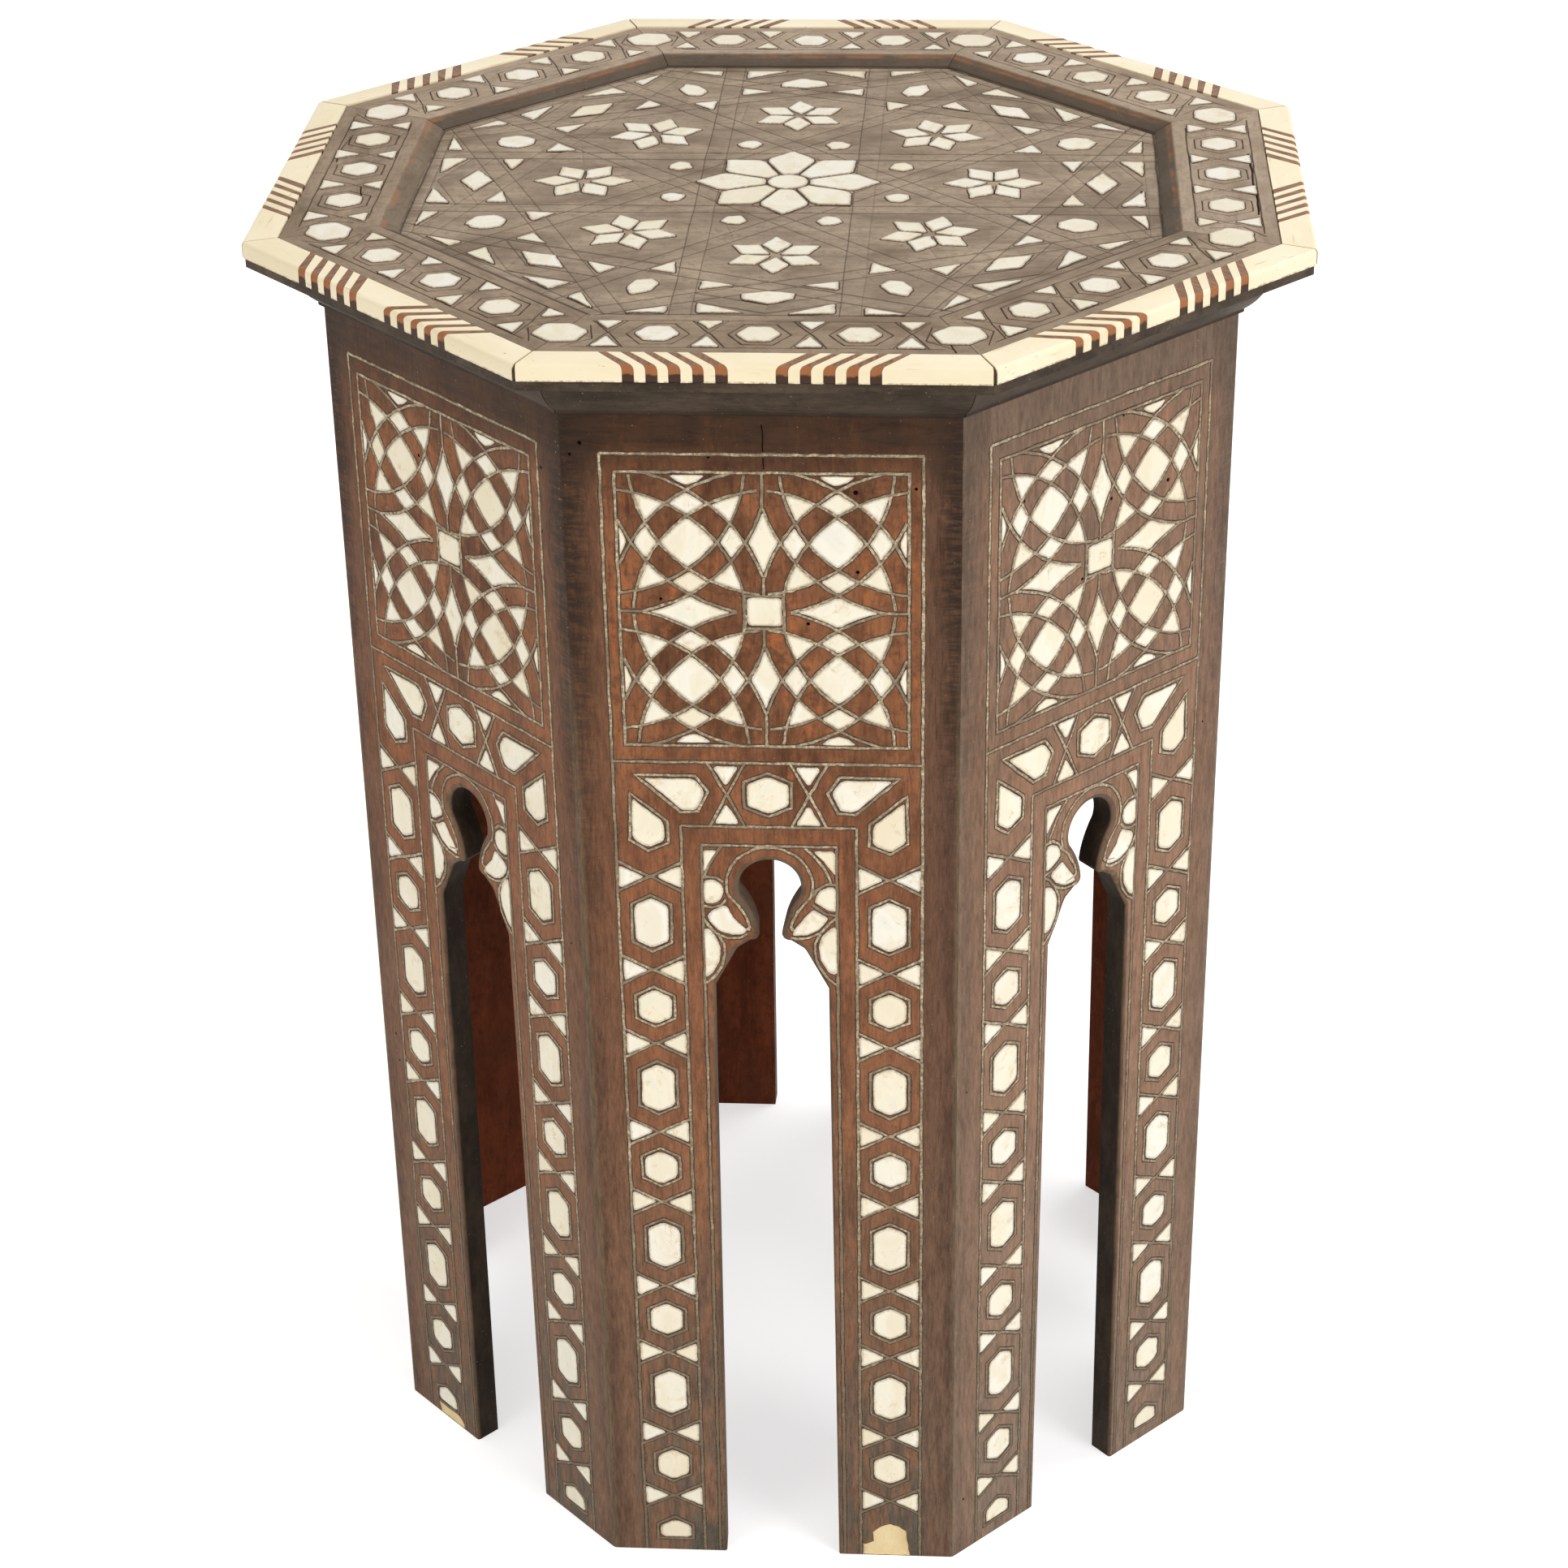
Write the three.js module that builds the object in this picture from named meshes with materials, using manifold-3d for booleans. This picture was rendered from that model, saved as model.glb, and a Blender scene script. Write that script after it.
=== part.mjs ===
// Eight-sided inlaid wooden table-stool, built as a mitred carcass of eight arched boards
import * as THREE from "three";
import { mergeVertices } from "three/addons/utils/BufferGeometryUtils.js";
import Module from "manifold-3d";

const wasm = await Module();
wasm.setup();

// Overall sizes in millimetres; an apothem is the distance from the middle to a flat side
const sideCount = 8;
const overallHeight = 500;
const topApothem = 181.6;
const topOverhang = 24.6;
const panelThickness = 10;
const glueGap = 0.3;
const overrun = 4;

// Bone edging of the top
const boneHeight = 5.5;
const boneWidth = 11.6;
const boneArris = 1.4;
const stripeCount = 5;
const stripeWidth = 3.7;
const stripePitch = 7.3;
const stripeDepth = 0.35;
const stripeSlant = 9.6;
const middleBoneWidth = 15;

// Top board with its sunk field
const boardSetback = 1;
const boardRimThickness = 3.3;
const boardThickness = 11.4;
const boardInnerPlay = 0.6;
const fieldDrop = 4.4;

// Border rails round the field
const railDrop = 0.5;
const railWidth = 38.2;
const railBevelRun = 6;
const railFoot = 0.4;

// Cornice under the overhang of the top
const corniceHeight = 17;
const corniceProjection = 11;
const corniceFascia = 2.4;
const corniceQuirk = 1;
const corniceFillet = 1.4;
const corniceBelly = 1.5;
const corniceSegments = 5;

// Glue blocks inside the corners
const blockHeight = 62;
const blockLeg = 26;
const blockChamfer = 9;

// Keyhole arch; its drops are measured down from the middle of its round head
const headDrop = 35.3;
const headRadius = 11.6;
const headLowAngle = -18;
const cuspGap = 3.9;
const cuspRadius = 2.6;
const cuspDrop = 16.9;
const cuspUpperAngle = 168;
const cuspBulge = 1.1;
const shoulderHalf = 10.6;
const shoulderDrop = 22.1;
const shoulderRound = 1.6;
const springHalf = 20;
const springDrop = 42;
const footHalf = 21.6;
const archChamfer = 2.2;
const archChamferDepth = 1.3;
const legChamferShare = 0.45;
const headSegments = 6;
const cuspSegments = 3;
const flankSegments = 3;

// Shell inlay, standing a little proud of the shrunken wood
const inlayProud = 0.45;
const inlayRoot = 1;
const shellInset = 0.8;

// Lattice of four interlaced knots above the arch; a knot's shares are of its width
const latticeTopMargin = 20.2;
const latticeSideMargin = 16;
const knotHeightShare = 1.0286;
const knotOffsetShare = 0.5714;
const knotInnerShare = 0.951;
const knotOuterShare = 1.1204;

// Band of shell pieces between the lattice and the arch; its middle drops below the lattice
const bandDrop = 18.8;
const bandHexHalf = 7.3;
const bandHexFlatShare = 0.56;
const bandHalfHeight = 11.6;

// Strips of shell pieces down the two legs, long and short ones in pairs
const stripShift = 2.1;
const stripHalf = 10.9;
const stripDrop = 32.6;
const stripFoot = 26.8;
const stripPairCount = 4;
const longPitchShare = 0.551;
const hexHalfWidth = 5.9;
const longHexHalf = 10.2;
const shortHexHalf = 7.2;
const hexTip = 3.2;
const footPieceHeight = 12;
const footPieceFlat = 6.6;

// Inlay of the border rails
const borderInset = 16.2;
const borderPitchShare = 0.508;
const borderHexLength = 7.1;
const borderHexDepth = 6;
const borderHexFlatShare = 0.54;
const cornerHexRadius = 8.8;
const cornerHexThickness = 1.8;

// Inlay of the sunk field; orbits are shares of the field's apothem
const bossRadius = 7;
const bossSegments = 16;
const petalStart = 8.4;
const petalShoulder = 22.5;
const petalTip = 33;
const petalFoot = 2.4;
const petalHalf = 7.9;
const petalThickness = 1.4;
const rosetteOrbitShare = 0.555;
const rosettePetalCount = 6;
const rhombStart = 2.6;
const rhombTip = 18;
const rhombHalf = 4.6;
const seedOrbitShare = 0.327;
const seedHalf = 4;
const lozengeOrbitShare = 0.8365;
const lozengeHalfLength = 10.6;
const lozengeHalfWidth = 5.2;
const shieldOrbitShare = 0.8555;
const shieldHalfLength = 10;
const shieldHalfWidth = 6.2;
const shieldShoulderShare = 0.42;

// Levels and reaches worked out from the sizes above
const halfTurn = Math.PI / sideCount;
const boneBottom = overallHeight - boneHeight;
const rimTop = boneBottom - glueGap;
const rimBottom = rimTop - boardRimThickness;
const fieldTop = overallHeight - fieldDrop;
const boardBottom = fieldTop - boardThickness;
const panelTop = rimBottom - glueGap;
const corniceBottom = panelTop - corniceHeight;
const boneInner = topApothem - boneWidth;
const railOuter = boneInner - glueGap;
const railInner = railOuter - railWidth;
const railTop = overallHeight - railDrop;
const railBottom = fieldTop + glueGap;
const borderMiddle = railOuter - borderInset;
const borderPitch = borderMiddle * Math.tan(halfTurn) * borderPitchShare;
const rosetteOrbit = railInner * rosetteOrbitShare;
const seedOrbit = railInner * seedOrbitShare;
const lozengeOrbit = railInner * lozengeOrbitShare;
const shieldOrbit = railInner * shieldOrbitShare;
const panelApothem = topApothem - topOverhang;
const panelHalf = panelApothem * Math.tan(halfTurn);
const knotPitchX = panelHalf - latticeSideMargin;
const knotPitchZ = knotPitchX * knotHeightShare;
const knotOffset = knotPitchX * knotOffsetShare;
const knotInnerRadius = knotPitchX * knotInnerShare;
const knotOuterRadius = knotPitchX * knotOuterShare;
const latticeHeight = corniceBottom - latticeTopMargin - knotPitchZ;
const bandHeight = latticeHeight - knotPitchZ - bandDrop;
const headHeight = bandHeight - headDrop;
const cuspHeight = headHeight - cuspDrop;
const shoulderHeight = headHeight - shoulderDrop;
const springHeight = headHeight - springDrop;
const stripCentre = (footHalf + panelHalf) / 2 - stripShift;
const stripTop = bandHeight - stripDrop;
const pairPitch = (stripTop - stripFoot) / stripPairCount;
const longPitch = pairPitch * longPitchShare;
const shortPitch = pairPitch - longPitch;

// Wood, bone and shell
const sideWood = { color: 0x5b3527, roughness: 0.55, metalness: 0 };
const topWood = { color: 0x6f6259, roughness: 0.7, metalness: 0 };
const darkWood = { color: 0x4a413b, roughness: 0.6, metalness: 0 };
const innerWood = { color: 0x6b3a25, roughness: 0.8, metalness: 0 };
const bone = { color: 0xf5ead0, roughness: 0.35, metalness: 0 };
const shell = { color: 0xf3ecdb, roughness: 0.25, metalness: 0 };

const point = (x, y) => new THREE.Vector2(x, y);
const degrees = (angle) => THREE.MathUtils.degToRad(angle);

// Where a flat outline lies in space: upright on a side, level on the top, or across a rail
const onSide = (apothem) => (p) => new THREE.Vector3(p.x, -apothem, p.y);
const onLevel = (height) => (p) => new THREE.Vector3(p.x, p.y, height);
const reachAt = (apothem) => apothem * Math.tan(halfTurn) - glueGap / 2 / Math.cos(halfTurn);
const onMitre = (hand) => (p) => new THREE.Vector3(hand * reachAt(p.x), -p.x, p.y);

// A closed solid through outlines that all have the same number of points
function loft(sections) {
  const positions = [];
  for (const { outline, place } of sections) {
    for (const p of outline) positions.push(...place(p).toArray());
  }
  const size = sections[0].outline.length;
  const faces = [];
  for (let s = 0; s + 1 < sections.length; s++) {
    for (let i = 0; i < size; i++) {
      const a = s * size + i;
      const b = s * size + ((i + 1) % size);
      faces.push([a, b, b + size], [a, b + size, a + size]);
    }
  }
  const last = (sections.length - 1) * size;
  const startCap = THREE.ShapeUtils.triangulateShape(sections[0].outline, []);
  const endCap = THREE.ShapeUtils.triangulateShape(sections.at(-1).outline, []);
  for (const [a, b, c] of startCap) faces.push([c, b, a]);
  for (const [a, b, c] of endCap) faces.push([a + last, b + last, c + last]);
  const corner = (i) => new THREE.Vector3().fromArray(positions, i * 3);
  const volume = faces.reduce(
    (sum, [a, b, c]) => sum + corner(a).dot(corner(b).cross(corner(c))),
    0,
  );
  if (volume < 0) faces.forEach((face) => face.reverse());
  const geometry = new THREE.BufferGeometry();
  geometry.setAttribute("position", new THREE.Float32BufferAttribute(positions, 3));
  geometry.setIndex(faces.flat());
  return geometry;
}

// Outlines are drawn anticlockwise, so that every loft closes the same way
function anticlockwise(outline) {
  return THREE.ShapeUtils.isClockWise(outline) ? [...outline].reverse() : outline;
}

function toSolid(geometry) {
  const merged = mergeVertices(geometry);
  return new wasm.Manifold(
    new wasm.Mesh({
      numProp: 3,
      vertProperties: merged.attributes.position.array,
      triVerts: new Uint32Array(merged.index.array),
    }),
  );
}

function prism(outline, placeFrom, placeTo) {
  const turned = anticlockwise(outline);
  return toSolid(
    loft([
      { outline: turned, place: placeFrom },
      { outline: turned, place: placeTo },
    ]),
  );
}

// A bar along one side of the octagon, mitred to its neighbours; its profile is (apothem, height)
function mitredBar(profile) {
  return prism(profile, onMitre(-1), onMitre(1));
}

function mirrored(outline) {
  return outline.map((p) => point(-p.x, p.y));
}

function moved(outline, x, y) {
  return outline.map((p) => point(p.x + x, p.y + y));
}

function turned(outline, angle) {
  return outline.map((p) => p.clone().rotateAround(point(0, 0), angle));
}

// Six-sided piece, pointed along y; flat is the half height of its straight sides
function longHexagon(halfWidth, halfLength, flat) {
  return [
    point(halfWidth, -flat),
    point(halfWidth, flat),
    point(0, halfLength),
    point(-halfWidth, flat),
    point(-halfWidth, -flat),
    point(0, -halfLength),
  ];
}

function diamond(halfWidth, halfLength) {
  return [
    point(halfWidth, 0),
    point(0, halfLength),
    point(-halfWidth, 0),
    point(0, -halfLength),
  ];
}

function pieceGeometry(solid) {
  const mesh = solid.getMesh();
  const positions = new Float32Array(mesh.numVert * 3);
  for (let i = 0; i < mesh.numVert; i++) {
    const start = i * mesh.numProp;
    positions.set(mesh.vertProperties.subarray(start, start + 3), i * 3);
  }
  const geometry = new THREE.BufferGeometry();
  geometry.setAttribute("position", new THREE.BufferAttribute(positions, 3));
  geometry.setIndex(new THREE.BufferAttribute(mesh.triVerts, 1));
  const flat = geometry.toNonIndexed();
  flat.computeVertexNormals();
  return flat;
}

// Half of the keyhole from the floor up to its crown; grow widens it for the chamfered arris
function keyholeHalf(grow) {
  const legGrow = grow * legChamferShare;
  const path = new THREE.Path();
  path.moveTo(footHalf + legGrow, -overrun);
  path.lineTo(springHalf + legGrow, springHeight + legGrow);
  path.lineTo(shoulderHalf + shoulderRound + grow, shoulderHeight - shoulderRound + grow / 2);
  path.lineTo(shoulderHalf + grow / 2, shoulderHeight + grow);
  const outline = path.getPoints();

  const cuspX = cuspGap + cuspRadius;
  const tipRadius = cuspRadius - grow / 2;
  const cusp = new THREE.Path();
  cusp.absarc(cuspX + grow / 2, cuspHeight, tipRadius, degrees(280), degrees(cuspUpperAngle), true);
  outline.push(...cusp.getPoints(cuspSegments));

  const tip = outline.at(-1);
  const low = degrees(headLowAngle);
  const head = headRadius + grow;
  const join = point(head * Math.cos(low), headHeight + head * Math.sin(low));
  const bend = tip.clone().lerp(join, 0.5);
  bend.x -= 2 * cuspBulge;
  const flank = new THREE.QuadraticBezierCurve(tip, bend, join);
  outline.push(...flank.getPoints(flankSegments).slice(1));

  const crown = new THREE.Path();
  crown.absarc(0, headHeight, head, low, Math.PI / 2, false);
  outline.push(...crown.getPoints(headSegments).slice(1));
  return outline;
}

function keyhole(grow) {
  const half = keyholeHalf(grow);
  return [...half, ...mirrored(half.slice(0, -1)).reverse()];
}

function keyholeCutter() {
  const wide = keyhole(archChamfer);
  const narrow = keyhole(0);
  return toSolid(
    loft([
      { outline: narrow, place: onSide(panelApothem - panelThickness - overrun) },
      { outline: narrow, place: onSide(panelApothem - archChamferDepth) },
      { outline: wide, place: onSide(panelApothem) },
      { outline: wide, place: onSide(panelApothem + overrun) },
    ]),
  );
}

// Where two circles meet, taking the crossing nearer to a given point
function crossing(a, b, near) {
  const span = b.centre.clone().sub(a.centre);
  const distance = span.length();
  const along = (distance ** 2 + a.radius ** 2 - b.radius ** 2) / (2 * distance);
  const across = Math.sqrt(a.radius ** 2 - along ** 2);
  span.normalize();
  const foot = a.centre.clone().addScaledVector(span, along);
  const side = point(-span.y, span.x).multiplyScalar(across);
  const first = foot.clone().add(side);
  const second = foot.clone().sub(side);
  return first.distanceTo(near) < second.distanceTo(near) ? first : second;
}

// A piece bounded by circles; where circle i meets the next one is near corner i
function arcPiece(circles, corners, segments) {
  const size = circles.length;
  const tips = circles.map((c, i) => crossing(c, circles[(i + 1) % size], corners[i]));
  const outline = [];
  circles.forEach(({ centre, radius }, i) => {
    const from = tips[(i + size - 1) % size];
    const to = tips[i];
    for (let s = 0; s < segments; s++) {
      const p = from.clone().lerp(to, s / segments).sub(centre).setLength(radius);
      outline.push(p.add(centre));
    }
  });
  return outline;
}

// Shell pieces of one knot of the lattice, drawn round its own middle
function knotPieces() {
  const circle = (x, y, radius) => ({
    centre: point(x * knotOffset, y * knotOffset),
    radius,
  });
  const inner = knotInnerRadius - shellInset;
  const outer = knotOuterRadius + shellInset;
  const reach = knotOffset / 2;
  const quarter = Math.PI / 2;
  const pieces = [];
  const lozenge = [circle(-1, -1, inner), circle(1, -1, inner), circle(1, 1, inner), circle(-1, 1, inner)];
  const axes = [point(0, reach), point(-reach, 0), point(0, -reach), point(reach, 0)];
  pieces.push(arcPiece(lozenge, axes, 2));
  const triangle = arcPiece(
    [circle(-1, -1, outer), circle(1, -1, inner), circle(-1, 1, inner)],
    [point(reach / 2, knotOffset), point(knotOffset, knotOffset), point(knotOffset, reach / 2)],
    1,
  );
  for (let i = 0; i < 4; i++) pieces.push(turned(triangle, i * quarter));
  return pieces;
}

// Pointed lozenge between two neighbouring knots, long along y
function pointedLozenge(pitch) {
  const radius = knotOuterRadius + shellInset;
  const circle = (x, y) => ({
    centre: point(x * (knotOffset + pitch / 2), y * knotOffset),
    radius,
  });
  const circles = [circle(-1, 1), circle(1, 1), circle(1, -1), circle(-1, -1)];
  const corners = circles.map(() => point(0, 0));
  return arcPiece(circles, corners, 1);
}

// Square at the middle of the lattice, where four knots meet
function middleSquare() {
  const across = knotPitchX / 2 + knotOffset - knotInnerRadius - shellInset;
  const upright = knotPitchZ / 2 + knotOffset - knotInnerRadius - shellInset;
  return [
    point(across, -upright),
    point(across, upright),
    point(-across, upright),
    point(-across, -upright),
  ];
}

function latticePieces() {
  const pieces = [middleSquare()];
  for (const x of [-1, 1]) {
    for (const y of [-1, 1]) {
      for (const piece of knotPieces()) {
        pieces.push(moved(piece, (x * knotPitchX) / 2, (y * knotPitchZ) / 2));
      }
    }
    const upright = pointedLozenge(knotPitchX);
    const level = turned(pointedLozenge(knotPitchZ), Math.PI / 2);
    pieces.push(moved(upright, 0, (x * knotPitchZ) / 2));
    pieces.push(moved(level, (x * knotPitchX) / 2, 0));
  }
  return pieces.map((piece) => moved(piece, 0, latticeHeight));
}

// Band over the arch: a hexagon in the middle and a pair of shaped pieces at each corner
function bandPieces() {
  const hexagon = longHexagon(bandHexHalf, bandHexHalf, bandHexHalf * bandHexFlatShare);
  const pieces = [turned(hexagon, Math.PI / 2)];
  const reach = stripCentre + stripHalf;
  const overShares = [
    [0.81, 0.53],
    [0.48, 0.53],
    [0.41, 0.06],
    [0.47, -0.51],
    [0.57, -0.54],
  ];
  const sideShares = [
    [0.88, -0.17],
    [0.68, -0.97],
    [0.68, -1.61],
    [0.79, -1.86],
    [0.89, -1.52],
  ];
  for (const shares of [overShares, sideShares]) {
    const piece = shares.map(([x, y]) => point(x * reach, y * bandHalfHeight));
    pieces.push(piece, mirrored(piece));
  }
  return pieces.map((piece) => moved(piece, 0, bandHeight));
}

// Strip down one leg: long and short hexagons in turn
function legPieces() {
  const pieces = [];
  let height = stripTop;
  for (let i = 0; i < stripPairCount; i++) {
    const long = longHexagon(hexHalfWidth, longHexHalf, longHexHalf - hexTip);
    pieces.push(moved(long, 0, height - longPitch / 2));
    height -= longPitch;
    const short = longHexagon(hexHalfWidth, shortHexHalf, shortHexHalf - hexTip);
    pieces.push(moved(short, 0, height - shortPitch / 2));
    height -= shortPitch;
  }
  pieces.push([
    point(hexHalfWidth, footPieceFlat),
    point(hexHalfWidth, footPieceHeight),
    point(0, footPieceHeight + hexTip),
    point(-hexHalfWidth, footPieceHeight),
    point(-hexHalfWidth, footPieceFlat),
  ]);
  return pieces;
}

function inlaid(body, outlines, placeFrom, placeTo) {
  return outlines.reduce((sum, outline) => sum.add(prism(outline, placeFrom, placeTo)), body);
}

function sidePanelSolid() {
  const inner = panelApothem - panelThickness;
  const blank = mitredBar([
    point(inner, 0),
    point(panelApothem, 0),
    point(panelApothem, panelTop),
    point(inner, panelTop),
  ]);
  const arched = blank.subtract(keyholeCutter());
  const leg = legPieces();
  const outlines = [
    ...latticePieces(),
    ...bandPieces(),
    ...leg.map((piece) => moved(piece, stripCentre, 0)),
    ...leg.map((piece) => moved(piece, -stripCentre, 0)),
  ];
  const from = onSide(panelApothem - inlayRoot);
  const to = onSide(panelApothem + inlayProud);
  return inlaid(arched, outlines, from, to);
}

// Cornice profile: fascia, quirk, a gently bellied slope and a fillet against the panel
function corniceSolid() {
  const back = panelApothem + glueGap;
  const front = back + corniceProjection;
  const fasciaFoot = panelTop - corniceFascia;
  const start = point(front - corniceQuirk, fasciaFoot);
  const end = point(back + corniceFillet, corniceBottom + corniceFillet);
  const middle = start.clone().lerp(end, 0.5);
  const out = point(start.y - end.y, end.x - start.x).normalize();
  const slope = new THREE.QuadraticBezierCurve(
    start,
    middle.addScaledVector(out, 2 * corniceBelly),
    end,
  );
  return mitredBar([
    point(back, panelTop),
    point(back, corniceBottom),
    point(back + corniceFillet, corniceBottom),
    ...slope.getPoints(corniceSegments).reverse(),
    point(front, fasciaFoot),
    point(front, panelTop),
  ]);
}

// Bone edging: a strip with its arris taken off, whose dark slanting stripes are let in a little below its face
function boneProfile(inset) {
  const outer = topApothem - inset;
  const top = overallHeight - inset;
  return [
    point(outer, boneBottom - inset),
    point(boneInner - inset, boneBottom - inset),
    point(boneInner - inset, top),
    point(outer - boneArris, top),
    point(outer, top - boneArris),
  ];
}

function boneSolid() {
  const bar = mitredBar(boneProfile(0));
  const outer = topApothem;
  const groupStart = (middleBoneWidth + stripeWidth) / 2;
  let grooves = null;
  for (const hand of [-1, 1]) {
    for (let i = 0; i < stripeCount; i++) {
      const x = groupStart + i * stripePitch;
      const lean = (stripeSlant * (boneWidth + overrun)) / boneWidth;
      const stripe = [
        point(x - stripeWidth / 2, -outer - overrun),
        point(x + stripeWidth / 2, -outer - overrun),
        point(x + stripeWidth / 2, -outer),
        point(x + stripeWidth / 2 + lean, overrun - boneInner),
        point(x - stripeWidth / 2 + lean, overrun - boneInner),
        point(x - stripeWidth / 2, -outer),
      ];
      const cut = prism(
        hand < 0 ? mirrored(stripe) : stripe,
        onLevel(boneBottom - overrun),
        onLevel(overallHeight + overrun),
      );
      grooves = grooves ? grooves.add(cut) : cut;
    }
  }
  const core = prism(
    boneProfile(stripeDepth),
    (p) => new THREE.Vector3(-topApothem, -p.x, p.y),
    (p) => new THREE.Vector3(topApothem, -p.x, p.y),
  );
  return bar.subtract(grooves.subtract(core));
}

// Shell hexagon across each mitre of the border; its middle lies on the corner line
function cornerHexagon(radius) {
  const outline = [];
  const middle = borderMiddle / Math.cos(halfTurn);
  for (let i = 0; i < 6; i++) {
    const angle = (i * Math.PI) / 3;
    outline.push(point(middle + radius * Math.cos(angle), radius * Math.sin(angle)));
  }
  return outline;
}

const cornerAngle = -Math.PI / 2 + halfTurn;

function borderPieces() {
  const pieces = [];
  const flat = borderHexLength * borderHexFlatShare;
  const hexagon = turned(longHexagon(borderHexDepth, borderHexLength, flat), Math.PI / 2);
  for (const step of [-1, 0, 1]) pieces.push(moved(hexagon, step * borderPitch, -borderMiddle));
  return pieces;
}

function borderRailSolid() {
  const bar = mitredBar([
    point(railInner, railBottom),
    point(railOuter, railBottom),
    point(railOuter, railTop),
    point(railInner + railBevelRun, railTop),
    point(railInner, railBottom + railFoot),
  ]);
  const pocket = cornerHexagon(cornerHexRadius + glueGap);
  const from = onLevel(railTop + inlayProud - cornerHexThickness - glueGap);
  const to = onLevel(overallHeight + overrun);
  const left = turned(pocket, cornerAngle - 2 * halfTurn);
  const right = turned(pocket, cornerAngle);
  const pocketed = bar.subtract(prism(left, from, to)).subtract(prism(right, from, to));
  return inlaid(
    pocketed,
    borderPieces(),
    onLevel(railTop - inlayRoot),
    onLevel(railTop + inlayProud),
  );
}

function cornerHexagonSolid() {
  const outline = turned(cornerHexagon(cornerHexRadius), cornerAngle);
  const top = railTop + inlayProud;
  return prism(outline, onLevel(top - cornerHexThickness), onLevel(top));
}

// Petal of the middle rosette, pointing along x; margin widens it for its pocket
function petal(margin) {
  return [
    point(petalStart - margin, petalFoot + margin),
    point(petalStart - margin, -petalFoot - margin),
    point(petalShoulder, -petalHalf - margin),
    point(petalTip + margin, 0),
    point(petalShoulder, petalHalf + margin),
  ];
}

function disc(radius) {
  const path = new THREE.Path();
  path.absarc(0, 0, radius, 0, 2 * Math.PI, false);
  return path.getPoints(bossSegments).slice(1);
}

// Pieces of the sunk field that repeat at every side and every corner direction
function fieldPieces() {
  const pieces = [];
  const middle = (rhombStart + rhombTip) / 2;
  const rhomb = moved(diamond((rhombTip - rhombStart) / 2, rhombHalf), middle, 0);
  const seed = moved(longHexagon(seedHalf, seedHalf, seedHalf / 2), seedOrbit, 0);
  const lozenge = moved(diamond(lozengeHalfWidth, lozengeHalfLength), lozengeOrbit, 0);
  const shoulder = shieldHalfLength * shieldShoulderShare;
  const shield = longHexagon(shieldHalfWidth, shieldHalfLength, shoulder);
  const turnedShield = moved(turned(shield, Math.PI / 2), shieldOrbit, 0);
  for (let i = 0; i < sideCount; i++) {
    const angle = i * 2 * halfTurn;
    for (let j = 0; j < rosettePetalCount; j++) {
      const spin = (j * 2 * Math.PI) / rosettePetalCount;
      pieces.push(turned(moved(turned(rhomb, spin), rosetteOrbit, 0), angle));
    }
    pieces.push(turned(lozenge, angle));
    pieces.push(turned(seed, angle + halfTurn));
    pieces.push(turned(turnedShield, angle + halfTurn));
  }
  return pieces;
}

function octagon(apothem) {
  const radius = apothem / Math.cos(halfTurn);
  const outline = [];
  for (let i = 0; i < sideCount; i++) {
    const angle = cornerAngle + i * 2 * halfTurn;
    outline.push(point(radius * Math.cos(angle), radius * Math.sin(angle)));
  }
  return outline;
}

function petalAngle(i) {
  return Math.PI / 2 - i * 2 * halfTurn;
}

function topBoardSolid() {
  const inner = octagon(panelApothem - panelThickness - boardInnerPlay);
  const rim = octagon(topApothem - boardSetback);
  const field = octagon(boneInner - glueGap);
  const board = toSolid(
    loft([
      { outline: inner, place: onLevel(boardBottom) },
      { outline: inner, place: onLevel(rimBottom) },
      { outline: rim, place: onLevel(rimBottom) },
      { outline: rim, place: onLevel(rimTop) },
      { outline: field, place: onLevel(rimTop) },
      { outline: field, place: onLevel(fieldTop) },
    ]),
  );
  const floor = onLevel(fieldTop + inlayProud - petalThickness - glueGap);
  const above = onLevel(fieldTop + overrun);
  let pocketed = board.subtract(prism(disc(bossRadius + glueGap), floor, above));
  for (let i = 0; i < sideCount; i++) {
    pocketed = pocketed.subtract(prism(turned(petal(glueGap), petalAngle(i)), floor, above));
  }
  return inlaid(
    pocketed,
    fieldPieces(),
    onLevel(fieldTop - inlayRoot),
    onLevel(fieldTop + inlayProud),
  );
}

// Five-sided block glued into a corner under the top, drawn round the corner line
function glueBlockSolid() {
  const inner = panelApothem - panelThickness - glueGap;
  const corner = point(inner * Math.tan(halfTurn), -inner);
  const left = point(-1, 0).multiplyScalar(blockLeg);
  const right = turned([point(1, 0)], 2 * halfTurn)[0].multiplyScalar(blockLeg);
  const back = corner.clone().setLength(corner.length() - blockChamfer);
  const leftEnd = corner.clone().add(left);
  const rightEnd = corner.clone().add(right);
  const outline = [corner, rightEnd, back, leftEnd];
  const top = boardBottom - glueGap;
  return prism(outline, onLevel(top - blockHeight), onLevel(top));
}

// Assembly: the same pieces on each side, turned round the middle
const table = new THREE.Group();

function addPiece(parent, name, geometry, look) {
  const mesh = new THREE.Mesh(geometry, new THREE.MeshStandardMaterial(look));
  mesh.name = name;
  parent.add(mesh);
}

const sidePieces = [
  ["side_panel", pieceGeometry(sidePanelSolid()), sideWood],
  ["corner_glue_block", pieceGeometry(glueBlockSolid()), innerWood],
  ["cornice_moulding", pieceGeometry(corniceSolid()), darkWood],
  ["border_rail", pieceGeometry(borderRailSolid()), topWood],
  ["bone_edging", pieceGeometry(boneSolid()), bone],
  ["corner_hexagon_inlay", pieceGeometry(cornerHexagonSolid()), shell],
];

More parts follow.
